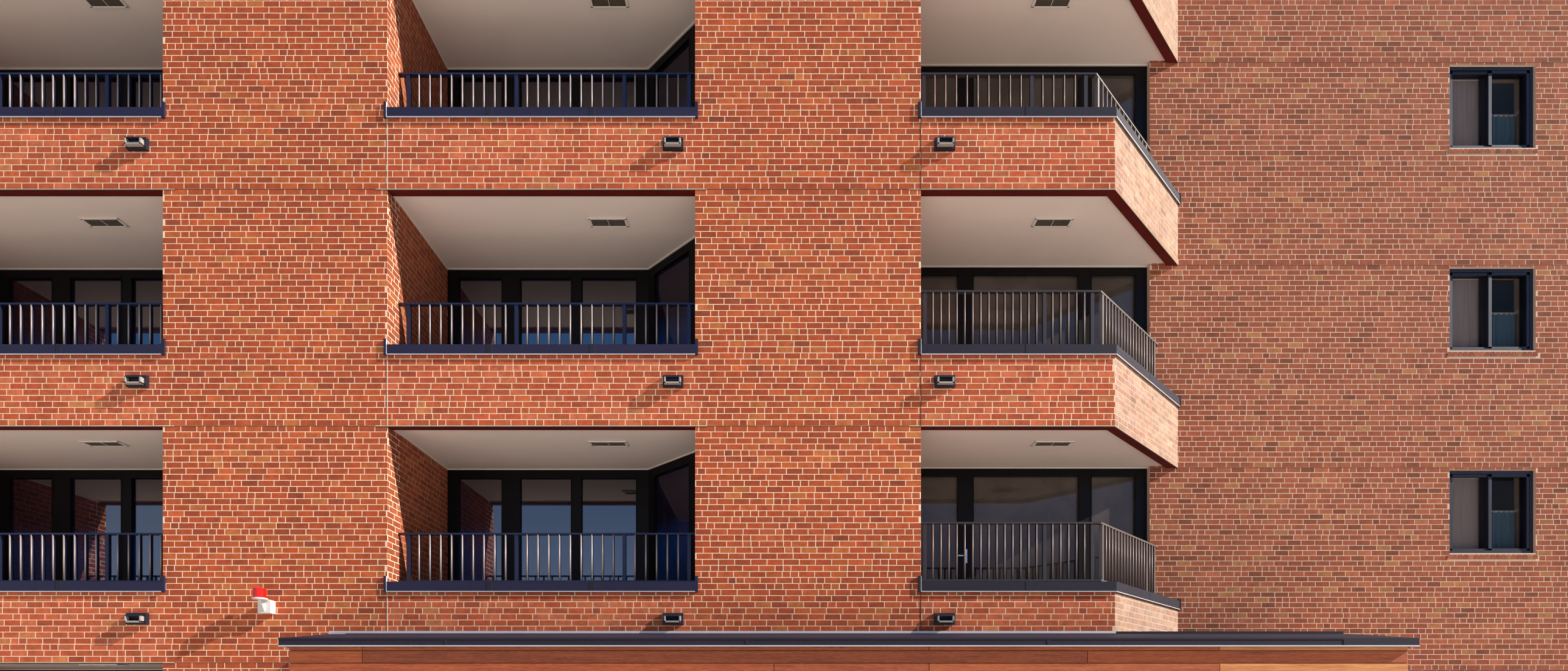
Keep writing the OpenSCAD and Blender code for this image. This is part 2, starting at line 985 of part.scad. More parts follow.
// The lens is turned: a straight wall with a rounded top edge
module alarm_lens() {
    color("red")
        at_front()
            translate([alarm_mid, -alarm_reach, alarm_z + alarm_box + base_h])
                rotate_extrude($fn = 64)
                    polygon([[0, 0], [lens_r, 0], [lens_r, lens_h - lens_dome],
                             [lens_r - lens_dome / 3, lens_h - lens_dome / 4],
                             [lens_r - lens_dome, lens_h], [0, lens_h]]);
}

// Metal coping on the parapet, in lengths with a slit between them
module parapet_coping() {
    z = [z_parapet, z_parapet + coping_h];
    outer = -coping_over;
    inner = wall_t + coping_over;
    color("darkslateblue")
        at_front() {
            plate([[x_left - coping_over, outer], turn_point(outer), turn_point(inner),
                   [x_left - coping_over, inner]], z);
            plate([turn_point(outer) + [slit, slit], angled_point(outer, set_back + outer - slit),
                   angled_point(inner, set_back + outer - slit), turn_point(inner) + [slit, slit]], z);
            block([x_wall - coping_over, x_right + coping_over],
                  [set_back + outer, set_back + inner], z);
            block([x_left - coping_over, x_left + wall_t + coping_over],
                  [inner + slit, depth - inner - slit], z);
            block([x_right - wall_t - coping_over, x_right + coping_over],
                  [set_back + inner + slit, depth - inner - slit], z);
            block([x_left - coping_over, x_right + coping_over],
                  [depth - inner, depth + coping_over], z);
        }
}

interior_slabs();
loggia_slabs();
corner_slabs();
porch_floor();
left_pier();
middle_pier();
right_pier();
loggia_side_walls();
left_party_wall();
right_party_wall();
back_wall();
set_back_wall();
left_spandrels();
middle_spandrels();
corner_spandrels();
angled_spandrels();
left_caps();
middle_caps();
corner_caps();
angled_caps();
lintels();
soffit_panels();
soffit_grilles();
left_railings();
middle_railings();
corner_railings();
angled_railings();
loggia_frames();
side_screens();
corner_frames();
balcony_glass();
door_handles();
wall_windows();
window_glass();
window_sills();
vent_hoods();
timber_front();
timber_sides();
box_roof();
box_roof_side();
roof_flashing();
entrance_doors();
entrance_glass();
alarm_bracket();
alarm_lens();
parapet_coping();
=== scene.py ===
"""Looks for a four storey brick apartment block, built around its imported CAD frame."""
import math

import bmesh
import bpy
import numpy as np
from mathutils import Matrix, Vector


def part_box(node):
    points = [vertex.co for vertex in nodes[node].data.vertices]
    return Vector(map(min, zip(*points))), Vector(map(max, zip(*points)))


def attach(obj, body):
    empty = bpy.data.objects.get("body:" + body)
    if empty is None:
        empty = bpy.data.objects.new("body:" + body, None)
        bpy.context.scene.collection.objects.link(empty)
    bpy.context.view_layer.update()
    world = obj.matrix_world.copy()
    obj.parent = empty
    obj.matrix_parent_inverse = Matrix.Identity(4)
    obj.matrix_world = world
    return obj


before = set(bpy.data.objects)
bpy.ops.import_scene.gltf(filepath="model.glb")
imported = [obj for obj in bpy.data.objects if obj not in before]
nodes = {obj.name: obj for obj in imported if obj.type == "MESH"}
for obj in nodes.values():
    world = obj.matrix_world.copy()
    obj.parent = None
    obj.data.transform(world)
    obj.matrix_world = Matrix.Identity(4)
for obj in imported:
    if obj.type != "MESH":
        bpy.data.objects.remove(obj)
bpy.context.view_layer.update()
rng = np.random.default_rng(57)

# Places, taken from the CAD nodes (metres, row frame)
X_LEFT, X_L0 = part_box("left_pier")[0].x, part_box("left_pier")[1].x
X_L1, X_M0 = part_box("middle_pier")[0].x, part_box("middle_pier")[1].x
X_M1, X_C0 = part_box("right_pier")[0].x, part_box("right_pier")[1].x
X_C1, X_B0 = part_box("corner_spandrels")[1].x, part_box("angled_spandrels")[1].x
X_WALL, X_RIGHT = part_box("set_back_wall")[0].x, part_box("set_back_wall")[1].x
Y_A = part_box("left_pier")[0].y
Y_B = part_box("set_back_wall")[0].y
Y_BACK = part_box("back_wall")[1].y
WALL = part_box("left_pier")[1].y - Y_A
Z_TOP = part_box("left_pier")[1].z

# Sizes that the storeys share
STOREYS = 4
STOREY = 2.64
LEVELS, UPPER, CEILINGS = range(STOREYS), range(1, STOREYS), range(1, STOREYS + 1)
CAP_RISE, CAP_DEEP, LINTEL_DROP, SOFFIT_DROP = 0.45, 0.1, 0.45, 0.43
Z_ROOF = STOREYS * STOREY
GROUND = 0.1
LEAF = 0.105
C45 = math.sqrt(0.5)
HALF_TURN = math.tan(math.pi / 8)
LOGGIA_DEEP, CORNER_DEEP = 1.587, 1.53
SCREEN_X, SCREEN_LEN = 2.655, 1.287 / C45
PANE_LOW, PANE_HIGH = 0.09, 2.11
WINDOW_W, WINDOW_H, WINDOW_RISE = 1.125, 1.1, 1.06
SIDE_WIN = 9.4185
BACK_BAYS = 6
back_windows = [X_LEFT + (i + 0.5) * (X_RIGHT - X_LEFT) / BACK_BAYS - WINDOW_W / 2
                for i in range(BACK_BAYS)]

# Columns of balconies: left edge, right edge, lowest storey. The third one turns at X_C1 by 45 degrees
LOGGIAS = [(X_L0, X_L1, 0), (X_M0, X_M1, 1)]
COLUMNS = [*LOGGIAS, (X_C0, X_C1, 1)]
RIGHT, BACKWARD, ANGLED = Vector((1, 0, 0)), Vector((0, 1, 0)), Vector((C45, C45, 0))
angled_len = (X_B0 - X_C1) / C45


def cap_top(k):
    return k * STOREY + CAP_RISE


def below_caps(k):
    return cap_top(k) - CAP_DEEP


def lintel_z(k):
    return k * STOREY - LINTEL_DROP


def soffit_z(k):
    return k * STOREY - SOFFIT_DROP


def window_z(k):
    return k * STOREY + WINDOW_RISE


# Camera, from the photograph: its width, focal length and shift in pixels
PHOTO_W, FOCAL_PX, SHIFT_PX = 2576, 1275, (13, 624)
SENSOR = 36
EYE = (0.6415, Y_A - 8.66, 1.6)
camera = bpy.data.cameras.new("camera")
camera.lens = SENSOR * FOCAL_PX / PHOTO_W
camera.sensor_width = SENSOR
camera.shift_x = SHIFT_PX[0] / PHOTO_W
camera.shift_y = SHIFT_PX[1] / PHOTO_W
camera.clip_end = 700
eye = bpy.data.objects.new("camera", camera)
eye.location = EYE
eye.rotation_euler = (math.pi / 2, 0, 0)
bpy.context.scene.collection.objects.link(eye)
bpy.context.scene.camera = eye


# Materials
def linear(rgb):
    """sRGB 0 to 255 to linear."""
    v = np.asarray(rgb, float) / 255
    return np.where(v <= 0.04045, v / 12.92, ((v + 0.055) / 1.055) ** 2.4)


def rgba(rgb, scale=1.0):
    return (*np.clip(linear(rgb) * scale, 0, 1).tolist(), 1.0)


def grey(value):
    return (value, value, value, 1)


class Graph:
    """A material's node tree, with a Principled shader and object coordinates."""

    def __init__(self, name, rough=0.6, metal=0.0):
        self.material = bpy.data.materials.new(name)
        self.material.use_nodes = True
        self.tree = self.material.node_tree
        self.shader = self.tree.nodes["Principled BSDF"]
        self.set(Roughness=rough, Metallic=metal)
        self.coords = self.tree.nodes.new("ShaderNodeTexCoord").outputs["Object"]

    def set(self, **values):
        """Constants, on the shader's own sockets."""
        for key, value in values.items():
            self.shader.inputs[key.replace("_", " ")].default_value = value

    def feed(self, socket, value):
        """Links an output to a socket, or sets the socket's own value."""
        if hasattr(value, "links"):
            self.tree.links.new(value, socket)
        else:
            socket.default_value = value

    def add(self, kind, **inputs):
        node = self.tree.nodes.new(kind)
        for key, value in inputs.items():
            self.feed(node.inputs[key.replace("_", " ")], value)
        return node

    def link(self, out, socket):
        self.tree.links.new(out, self.shader.inputs[socket])

    def tone(self):
        """The colour that each brick or board carries."""
        node = self.add("ShaderNodeAttribute")
        node.attribute_name = "tone"
        return node.outputs["Color"]

    def calc(self, operation, value, other):
        node = self.add("ShaderNodeMath", Value=value)
        node.operation = operation
        node.inputs[1].default_value = other
        return node.outputs[0]

    def stretched(self, scale):
        return self.add("ShaderNodeMapping", Vector=self.coords, Scale=scale).outputs[0]

    def noise(self, scale, detail=4.0, rough=0.6, coords=None):
        return self.add("ShaderNodeTexNoise", Vector=coords or self.coords, Scale=scale,
                        Detail=detail, Roughness=rough).outputs["Fac"]

    def ramp(self, fac, *stops):
        node = self.add("ShaderNodeValToRGB", Fac=fac)
        ramp = node.color_ramp
        while len(ramp.elements) < len(stops):
            ramp.elements.new(0.5)
        for element, (place, colour) in zip(ramp.elements, stops):
            element.position = place
            element.color = colour
        return node.outputs["Color"]

    def mix(self, fac, a, b, blend="MIX"):
        node = self.tree.nodes.new("ShaderNodeMix")
        node.data_type = "RGBA"
        node.blend_type = blend
        # A Mix node keeps its factor and its two colours in these sockets
        for index, value in ((0, fac), (6, a), (7, b)):
            self.feed(node.inputs[index], value)
        return node.outputs[2]

    def multiply(self, a, b):
        return self.mix(1.0, a, b, "MULTIPLY")

    def bump(self, height, strength, distance):
        node = self.add("ShaderNodeBump", Height=height, Strength=strength, Distance=distance)
        self.link(node.outputs["Normal"], "Normal")

    def rough(self, fac, low, high):
        node = self.add("ShaderNodeMapRange", Value=fac, To_Min=low, To_Max=high)
        self.link(node.outputs["Result"], "Roughness")


def mottled(name, rgb, rough=0.6, metal=0.0, scale=3.0, spread=0.12, fine=90.0, bump=0.15,
            distance=0.001, streak=None, shine=0.5):
    """A painted or mineral surface: slow stains, fine grain, a little uneven gloss."""
    g = Graph(name, rough, metal)
    slow = g.noise(scale, coords=g.stretched(streak) if streak else None)
    grain = g.noise(fine, 6)
    stains = g.ramp(slow, (0.3, rgba(rgb, 1 - spread)), (0.7, rgba(rgb, 1 + spread)))
    specks = g.ramp(grain, (0.3, rgba(rgb, 0.75)), (0.7, rgba(rgb, 1.2)))
    g.link(g.mix(0.25, stains, specks), "Base Color")
    g.rough(grain, max(rough - 0.08, 0.02), min(rough + 0.1, 1))
    g.set(Specular_IOR_Level=shine)
    g.bump(grain, bump, distance)
    return g.material


def mortar(name, rgb, spread=0.08, bump=0.3, distance=0.001):
    return mottled(name, rgb, 0.95, scale=1.2, spread=spread, fine=220, bump=bump, distance=distance)


def cap_paint(name, rgb):
    return mottled(name, rgb, 0.6, 0.0, 2.0, 0.18, 150, 0.06, streak=(0.3, 1, 3), shine=0.2)


def rail_paint(name, rgb, rough, metal):
    return mottled(name, rgb, rough, metal, 5.0, 0.2, 240, 0.08)


def clay(name, wear, sand_light=(0.7, 0.3, 0.15, 1)):
    """Fired brick: each brick's own colour, mottled, with a sandy face."""
    g = Graph(name, 0.9)
    tone = g.tone()
    patch = g.noise(14, 5, 0.65)
    sand = g.noise(160, 6, 0.7)
    shaded = g.multiply(tone, g.ramp(patch, (0.3, (0.68, 0.64, 0.62, 1)), (0.66, (1.16, 1.12, 1.06, 1))))
    slow = g.ramp(g.noise(0.9, 3), (0.35, (0.92, 0.86, 0.84, 1)), (0.65, (1.04, 1.1, 1.0, 1)))
    shaded = g.multiply(shaded, slow)
    dust = g.ramp(g.noise(6, 6, 0.75), (0.55, grey(0)), (0.75, grey(wear)))
    shaded = g.mix(dust, shaded, rgba((206, 160, 134)))
    grains = g.ramp(sand, (0.35, (0.1, 0.03, 0.015, 1)), (0.65, sand_light))
    g.link(g.mix(0.2, shaded, grains), "Base Color")
    g.bump(sand, 0.6, 0.003)
    g.set(Specular_IOR_Level=0.25)
    return g.material


def wood(name, tints, grain_dir):
    """Oiled boards: grain along the board, a different tint for each board."""
    g = Graph(name, 0.5)
    tone = g.tone()
    grain = g.noise(9, 8, 0.65, g.stretched(grain_dir))
    fine = g.noise(70, 4, 0.6, g.stretched(grain_dir))
    stripes = g.mix(0.95, g.ramp(grain, *tints), tone, "MULTIPLY")
    fibres = g.ramp(fine, (0.4, rgba((60, 28, 14))), (0.6, rgba((214, 140, 84))))
    g.link(g.mix(0.18, stripes, fibres), "Base Color")
    g.rough(grain, 0.4, 0.62)
    g.bump(fine, 0.25, 0.0015)
    return g.material


def pane(name, high, low, alpha, gloss=0.8, corner=None):
    """Float glass: glossy, partly clear, a little uneven, with a painted reflection: the low colour low down
    on each storey and the high one up top.
    With a corner colour, the corner's panes have that colour painted on for the greige blinds seen through
    them, dark low down and pale up high, and they and the angled screens shine less."""
    g = Graph(name, 0.02)
    at = g.add("ShaderNodeSeparateXYZ", Vector=g.coords).outputs
    height = g.calc("MODULO", at["Z"], STOREY)
    rise = g.add("ShaderNodeMapRange", Value=height, From_Min=0.35, From_Max=1.5).outputs[0]
    # Painted reflection: the low colour low down on each storey, the high colour up top
    colour = g.ramp(rise, (0.0, rgba(low)), (0.7, rgba(low, 0.6)), (1.0, rgba(high)))
    if corner:
        # Painted view of the greige blinds behind the corner's panes, dark low down and pale up high
        greige = g.ramp(rise, (0.3, rgba(corner, 0.16)), (1.0, rgba(corner, 0.9)))
        colour = g.mix(g.calc("GREATER_THAN", at["X"], X_C0 - 0.1), colour, greige)
        fore = g.calc("LESS_THAN", at["Y"], Y_A + CORNER_DEEP + 0.04)
        g.link(g.mix(fore, grey(1), (0.26, 0.22, 0.24, 1)), "Specular Tint")
    smear = g.ramp(g.noise(1.3, 3), (0.35, grey(0.7)), (0.65, grey(1.25)))
    g.link(g.multiply(colour, smear), "Base Color")
    g.bump(g.noise(0.8, 2), 0.03, 0.004)
    g.set(Alpha=alpha, Specular_IOR_Level=gloss, IOR=1.9)
    return g.material


def satin(name, rgb, rough=0.5, metal=0.25):
    """Drawn metal with a dull shine that catches the sun in thin lines."""
    g = Graph(name, rough, metal)
    pull = g.noise(6, 4, coords=g.stretched((8, 8, 0.6)))
    g.link(g.ramp(pull, (0.3, rgba(rgb, 0.85)), (0.7, rgba(rgb, 1.15))), "Base Color")
    g.rough(pull, rough - 0.05, rough + 0.06)
    g.bump(g.noise(260, 3), 0.05, 0.001)
    return g.material


def cloth(name, rgb):
    """Curtains and blinds: a soft vertical weave."""
    g = Graph(name, 0.9)
    folds = g.noise(5, 3, 0.5, g.stretched((6, 6, 0.3)))
    weave = g.noise(400, 2)
    shades = g.ramp(folds, (0.3, rgba(rgb, 0.8)), (0.7, rgba(rgb, 1.1)))
    threads = g.ramp(weave, (0.4, rgba(rgb, 0.6)), (0.6, rgba(rgb, 1.3)))
    g.link(g.mix(0.15, shades, threads), "Base Color")
    g.bump(weave, 0.2, 0.001)
    return g.material


MORTAR = mortar("mortar", (246, 216, 192), spread=0.06, distance=0.002)
# Painted sun glare: a sunlit copy of the mortar, greyer and dimmer, for the angled faces
MORTAR_SUN = mortar("sunlit_mortar", (196, 180, 172), spread=0.06, bump=0.4)
MORTAR_SIDE = mortar("side_mortar", (222, 196, 180), distance=0.002)
# Painted shade: a shaded copy of the mortar, darker, for the balconies' reveals
MORTAR_SHADE = mortar("shaded_mortar", (190, 142, 114))
CLAY = clay("brick_clay", 0.14)
# Painted sun glare: a sunlit copy of the brick clay, with paler sand and more pale dust, for the angled faces
CLAY_SUN = clay("sunlit_brick", 0.2, (0.6, 0.38, 0.28, 1))
CONCRETE = mottled("concrete", (168, 162, 156), 0.9, scale=0.8, fine=60, bump=0.3, distance=0.002)
CAP_METAL = cap_paint("navy_cap_metal", (40, 39, 64))
CAP_DARK = cap_paint("dark_roof_metal", (40, 37, 50))
DRIP = mottled("drip_edge", (206, 204, 212), 0.4, 0.2, 4.0, 0.12, 200, 0.05)
RAIL = rail_paint("navy_rail_paint", (34, 37, 62), 0.4, 0.3)
RAIL_BRONZE = rail_paint("bronze_rail_paint", (46, 38, 40), 0.5, 0.1)
# Painted sun glare: a sunlit copy of the rail paint, pale grey, for the angled railings
RAIL_SUN = rail_paint("sunlit_rail_paint", (112, 104, 102), 0.4, 0.35)
BAR_FACE = satin("satin_bar_face", (168, 154, 150))
BAR_BRONZE = satin("bronze_bar_face", (150, 130, 122))
LINTEL = mottled("red_oxide_lintel", (92, 11, 6), 0.7, 0.1, 4.0, 0.25, 120, 0.3)
# A thin grey-green strip along the lintels' lower front edges
LINTEL_EDGE = mottled("grey_green_lintel_edge", (112, 112, 98), 0.7, 0.2, 6.0, 0.25, 160, 0.2)
SOFFIT = mottled("soffit_board", (242, 222, 212), 0.85, scale=0.7, spread=0.05, fine=300, bump=0.12)
TRIM = mottled("soffit_trim", (232, 222, 214), 0.6, spread=0.05, fine=200, bump=0.05)
LOUVRE = mottled("grille_paint", (92, 82, 72), 0.5, scale=6, spread=0.15, fine=300, bump=0.05)
FRAME = mottled("black_frame_paint", (12, 9, 13), 0.5, 0.0, 4.0, 0.2, 200, 0.06, shine=0.15)
FRAME_NAVY = mottled("navy_frame_paint", (26, 28, 44), 0.38, 0.2, 4.0, 0.2, 200, 0.06)
STEEL = mottled("brushed_steel", (190, 190, 194), 0.3, 0.9, 8.0, 0.1, 300, 0.05, streak=(1, 1, 12))
HOOD = mottled("hood_paint", (30, 29, 44), 0.5, 0.2, 8.0, 0.2, 260, 0.1)
# Painted highlight: the pale collar round each hood's mouth
HOOD_RIM_HIGHLIGHT = mottled("painted_hood_rim_highlight", (168, 162, 156), 0.5, 0.1, 8.0, 0.1, 260, 0.05)
FLASH = mottled("lead_flashing", (214, 210, 214), 0.45, 0.4, 2.0, fine=120, streak=(0.4, 1, 2))
SEALANT = mottled("joint_sealant", (206, 190, 176), 0.7, scale=8, spread=0.08, fine=160, bump=0.1)
SEAL_DARK = mottled("dark_sealant", (74, 52, 46), 0.7, scale=8, spread=0.1, fine=160, bump=0.1)
SHELF = mottled("shelf_angle", (104, 62, 50), 0.8, scale=6, spread=0.2, fine=120, bump=0.2)
WHITE = mottled("white_enamel", (226, 224, 222), 0.35, scale=6, spread=0.03, fine=240, bump=0.03)
RED_LENS = mottled("red_lens", (214, 22, 14), 0.15, scale=10, spread=0.15, fine=260, bump=0.05)
MEMBRANE = mottled("roof_membrane", (142, 142, 146), 0.85, scale=0.6, fine=120, bump=0.3, distance=0.002)
# Painted reflection on the balconies' glass: sky blue low down, dark purple up high; the corner's panes
# painted greige
GLASS_LOGGIA = pane("loggia_glass", (28, 21, 40), (34, 78, 156), 0.84, corner=(92, 84, 78))
GLASS_WINDOW = pane("window_glass", (40, 40, 42), (34, 34, 40), 0.25, 0.1)
BLIND = cloth("blind_cloth", (104, 88, 106))
BLIND_PALE = cloth("pale_blind_cloth", (206, 188, 190))
CURTAIN = cloth("curtain_cloth", (196, 188, 180))
TEAL = cloth("teal_curtain", (104, 142, 170))
CEDAR = [(0.3, rgba((176, 104, 60))), (0.5, rgba((216, 146, 92))), (0.7, rgba((236, 176, 120)))]
BOARDS_FRONT = wood("cedar_boards", CEDAR, (0.25, 4, 4))
BOARDS_SIDE = wood("cedar_boards_side", CEDAR, (4, 0.25, 4))

SURFACES = {
    MORTAR: ["left_pier", "middle_pier", "right_pier", "left_party_wall",
             "left_spandrels", "middle_spandrels", "corner_spandrels"],
    MORTAR_SIDE: ["right_party_wall", "back_wall", "set_back_wall", "window_sills"],
    MORTAR_SUN: ["angled_spandrels"],
    MORTAR_SHADE: ["loggia_side_walls"],
    CONCRETE: ["interior_slabs", "loggia_slabs", "corner_slabs", "porch_floor"],
    CAP_METAL: ["left_caps", "middle_caps"],
    CAP_DARK: ["corner_caps", "angled_caps", "parapet_coping", "box_roof", "box_roof_side", "roof_flashing"],
    LINTEL: ["lintels"],
    SOFFIT: ["soffit_panels"],
    LOUVRE: ["soffit_grilles"],
    RAIL: ["left_railings", "middle_railings"],
    RAIL_BRONZE: ["corner_railings"],
    RAIL_SUN: ["angled_railings"],
    FRAME: ["loggia_frames", "side_screens", "corner_frames", "entrance_doors"],
    FRAME_NAVY: ["wall_windows"],
    GLASS_LOGGIA: ["balcony_glass"],
    GLASS_WINDOW: ["window_glass", "entrance_glass"],
    STEEL: ["door_handles"],
    HOOD: ["vent_hoods"],
    BOARDS_FRONT: ["timber_front"],
    BOARDS_SIDE: ["timber_sides"],
    WHITE: ["alarm_bracket"],
    RED_LENS: ["alarm_lens"],
}
for surface, names in SURFACES.items():
    for name in names:
        nodes[name].data.materials.clear()
        nodes[name].data.materials.append(surface)


# Making pieces
def place(name, data, material, slot=None):
    """Puts a piece on the block. The slot is not used."""
    piece = bpy.data.objects.new(name, data)
    data.materials.append(material)
    bpy.context.scene.collection.objects.link(piece)
    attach(piece, "root")
    return piece


def place_bmesh(name, mesh, material, slot=None):
    data = bpy.data.meshes.new(name)
    mesh.to_mesh(data)
    mesh.free()
    return place(name, data, material, slot)


def span(x, y, z):
    """A box by its limits."""
    size = Vector((x[1] - x[0], y[1] - y[0], z[1] - z[0]))
    return Matrix.LocRotScale(Vector((x[0] + x[1], y[0] + y[1], z[0] + z[1])) / 2, None, size)


def moved(x, y):
    return Matrix.Translation((x, y, 0))


def turned(x, y, degrees=45):
    return moved(x, y) @ Matrix.Rotation(math.radians(degrees), 4, "Z")


def boxes(name, mats, material, slot, bevel=0.0015):
    """Joined boxes with eased edges."""
    mesh = bmesh.new()
    for m in mats:
        bmesh.ops.create_cube(mesh, size=1, matrix=m)
    if bevel:
        bmesh.ops.bevel(mesh, geom=mesh.edges[:], offset=bevel, segments=1, affect="EDGES")
    return place_bmesh(name, mesh, material, slot)


# Bricks: courses and joints as in the photograph, and a palette for each kind of wall, with weights.
# Two of them carry painted light: the reveal palette is darker, for painted shade, and the sunlit one is pale
# and greyish, for painted sun glare.
COURSE = STOREY / 39
PITCH = 0.181
BED, HEAD = 0.0075, 0.0095
GRID = lintel_z(1) + 0.002
PROUD, EASE, ROOTED = 0.0008, 0.0007, 0.001
HALVED = 0.12
COURSE_SHIFT, PITCH_SPREAD, BED_SPREAD, TILT_SPREAD = 0.02, 0.0015, 0.0004, 0.0002
SHADE_SPREAD, HUE_SPREAD, DARKEST = 0.08, 0.02, 0.01
SHORTEST, LOWEST = 0.02, 0.014
TONES = {
    "pier": [((184, 77, 43), 6), ((174, 71, 42), 4), ((196, 93, 52), 3), ((162, 65, 42), 1.6),
             ((196, 112, 62), 0.8), ((146, 60, 42), 0.4)],
    "spandrel": [((200, 94, 62), 6), ((190, 82, 54), 4), ((212, 112, 80), 3), ((172, 74, 50), 1),
                 ((206, 128, 84), 0.5)],
    # Painted shade: darker bricks for the balconies' reveals
    "reveal": [((152, 68, 40), 5), ((142, 60, 36), 4), ((166, 82, 50), 2), ((160, 96, 60), 0.4)],
    "side": [((158, 82, 62), 6), ((146, 72, 54), 4), ((170, 95, 72), 3), ((174, 118, 80), 0.6),
             ((120, 60, 46), 0.9)],
    # Painted sun glare: pale greyish bricks for the angled faces
    "sunlit": [((184, 150, 136), 4), ((178, 143, 128), 3), ((190, 160, 148), 3), ((172, 132, 116), 0.8)],
    "red_boards": [((188, 120, 94), 3), ((168, 102, 80), 2), ((204, 138, 110), 2)],
    "tan_boards": [((255, 250, 240), 3), ((250, 238, 220), 2)],
}


def minus(rect, hole):
    """What is left of a rectangle (u0, u1, z0, z1) outside a hole."""
    u0, u1, z0, z1 = rect
    a0, a1, b0, b1 = hole
    if u1 <= a0 or u0 >= a1 or z1 <= b0 or z0 >= b1:
        return [rect]
    left = [(u0, a0, z0, z1), (a1, u1, z0, z1), (max(u0, a0), min(u1, a1), z0, b0),
            (max(u0, a0), min(u1, a1), b1, z1)]
    return [r for r in left if r[1] - r[0] > SHORTEST and r[3] - r[2] > LOWEST]


def running_bond(length, z0, z1, holes=()):
    """Rectangles of bricks on a wall's face, cut at its edges and holes: stretchers in half bond,
    a few of them cut in two, each course a little out of line, as in the photograph."""
    out = []
    for c in range(math.floor((z0 - GRID) / COURSE), math.ceil((z1 - GRID) / COURSE)):
        low = max(GRID + c * COURSE + BED / 2, z0)
        high = min(GRID + (c + 1) * COURSE - BED / 2, z1)
        if high - low < LOWEST:
            continue
        near = [h for h in holes if h[2] < high and h[3] > low]
        u = PITCH * (c % 2 / 2 - 1) + rng.normal(0, COURSE_SHIFT)
        while u < length:
            for part in (0.5, 0.5) if rng.random() < HALVED else (1.0,):
                step = PITCH * part + rng.normal(0, PITCH_SPREAD)
                rects = [(max(u + HEAD / 2, 0), min(u + step - HEAD / 2, length), low, high)]
                for hole in near:
                    rects = [r for rect in rects for r in minus(rect, hole)]
                out += [r for r in rects if r[1] - r[0] > SHORTEST]
                u += step
    return out


def paint(count, palette):
    """One colour for each brick, picked from a palette, with a little spread."""
    colours = np.array([linear(c) for c, _ in TONES[palette]])
    weights = np.array([w for _, w in TONES[palette]])
    picked = colours[rng.choice(len(colours), count, p=weights / weights.sum())]
    shaded = picked * rng.normal(1, SHADE_SPREAD, (count, 1)) * rng.normal(1, HUE_SPREAD, (count, 3))
    return np.clip(shaded, DARKEST, 1)


def blocks(corner, along, rects, proud, ease):
    """Eight corners for each rectangle: four just inside the wall, four eased ones that stand proud of it."""
    r = np.array(rects)
    r[:, 2:] += rng.normal(0, BED_SPREAD, (len(r), 2))
    along, up = np.array(along), np.array((0, 0, 1))
    normal = np.cross(along, up)
    box = np.empty((len(r), 8, 3))
    for i, (a, b) in enumerate(((0, 2), (1, 2), (1, 3), (0, 3))):
        ins_u = ease if a == 0 else -ease
        ins_z = ease if b == 2 else -ease
        tilted = proud + rng.normal(0, TILT_SPREAD, len(r))
        for j, du, dz, out in ((i, 0, 0, np.full(len(r), -ROOTED)), (i + 4, ins_u, ins_z, tilted)):
            box[:, j] = (np.array(corner) + np.outer(r[:, a] + du, along)
                         + np.outer(r[:, b] + dz, up) + np.outer(out, normal))
    return box


def brick_piece(name, walls, material, slot="brick", proud=PROUD, ease=EASE):
    """Joins the bricks or boards of several faces: (corner, direction along it, rectangles, palette)."""
    points, tones = [], []
    for corner, along, rects, palette in walls:
        if rects:
            points.append(blocks(corner, along, rects, proud, ease))
            tones.append(paint(len(rects), palette))
    points, tones = np.concatenate(points), np.concatenate(tones)
    n = len(points)
    quads = np.array([(4, 5, 6, 7), (0, 1, 5, 4), (1, 2, 6, 5), (2, 3, 7, 6), (3, 0, 4, 7)])
    faces = (quads[None] + (np.arange(n) * 8)[:, None, None]).reshape(-1)
    mesh = bpy.data.meshes.new(name)
    mesh.vertices.add(n * 8)
    mesh.vertices.foreach_set("co", points.reshape(-1).astype(np.float32))
    mesh.loops.add(len(faces))
    mesh.loops.foreach_set("vertex_index", faces.astype(np.int32))
    mesh.polygons.add(n * 5)
    mesh.polygons.foreach_set("loop_start", (np.arange(n * 5) * 4).astype(np.int32))
    mesh.update(calc_edges=True)
    mesh.shade_flat()
    colour = mesh.attributes.new("tone", "FLOAT_COLOR", "FACE")
    shade = np.concatenate([np.repeat(tones, 5, axis=0), np.ones((n * 5, 1))], axis=1)
    colour.data.foreach_set("color", shade.reshape(-1).astype(np.float32))
    return place(name, mesh, material, slot)


# Bricks of the front, with one palette on the piers and another between the balconies.
# A hole that runs off the wall starts at PAST, outside it.
FOOT = 0.004
PAST = -1
LINTEL_SEAT, COLUMN_SLACK = 0.01, 0.01


def openings(x0, x1, first):
    """Holes of one column of balconies, along the front face, measured from X_LEFT."""
    across = (x0 - X_LEFT, x1 - X_LEFT)
    holes = [(*across, below_caps(k), lintel_z(k + 1) - LINTEL_SEAT) for k in range(first, STOREYS)]
    if first:
        holes.append((*across, PAST, lintel_z(1) - LINTEL_SEAT))
    return holes


def in_column(rect):
    middle = X_LEFT + (rect[0] + rect[1]) / 2
    return any(x0 - COLUMN_SLACK < middle < x1 + COLUMN_SLACK for x0, x1, _ in COLUMNS)


front = running_bond(X_C1 - X_LEFT, FOOT, Z_TOP, [h for column in COLUMNS for h in openings(*column)])
halfway = X_M0 - X_LEFT
left_part = [r for r in front if r[1] <= halfway]
right_part = [r for r in front if r[1] > halfway]
for side, bricks in (("left", left_part), ("right", right_part)):
    brick_piece(f"front_bricks_{side}", [
        ((X_LEFT, Y_A, 0), RIGHT, [r for r in bricks if not in_column(r)], "pier"),
        ((X_LEFT, Y_A, 0), RIGHT, [r for r in bricks if in_column(r)], "spandrel"),
    ], CLAY)

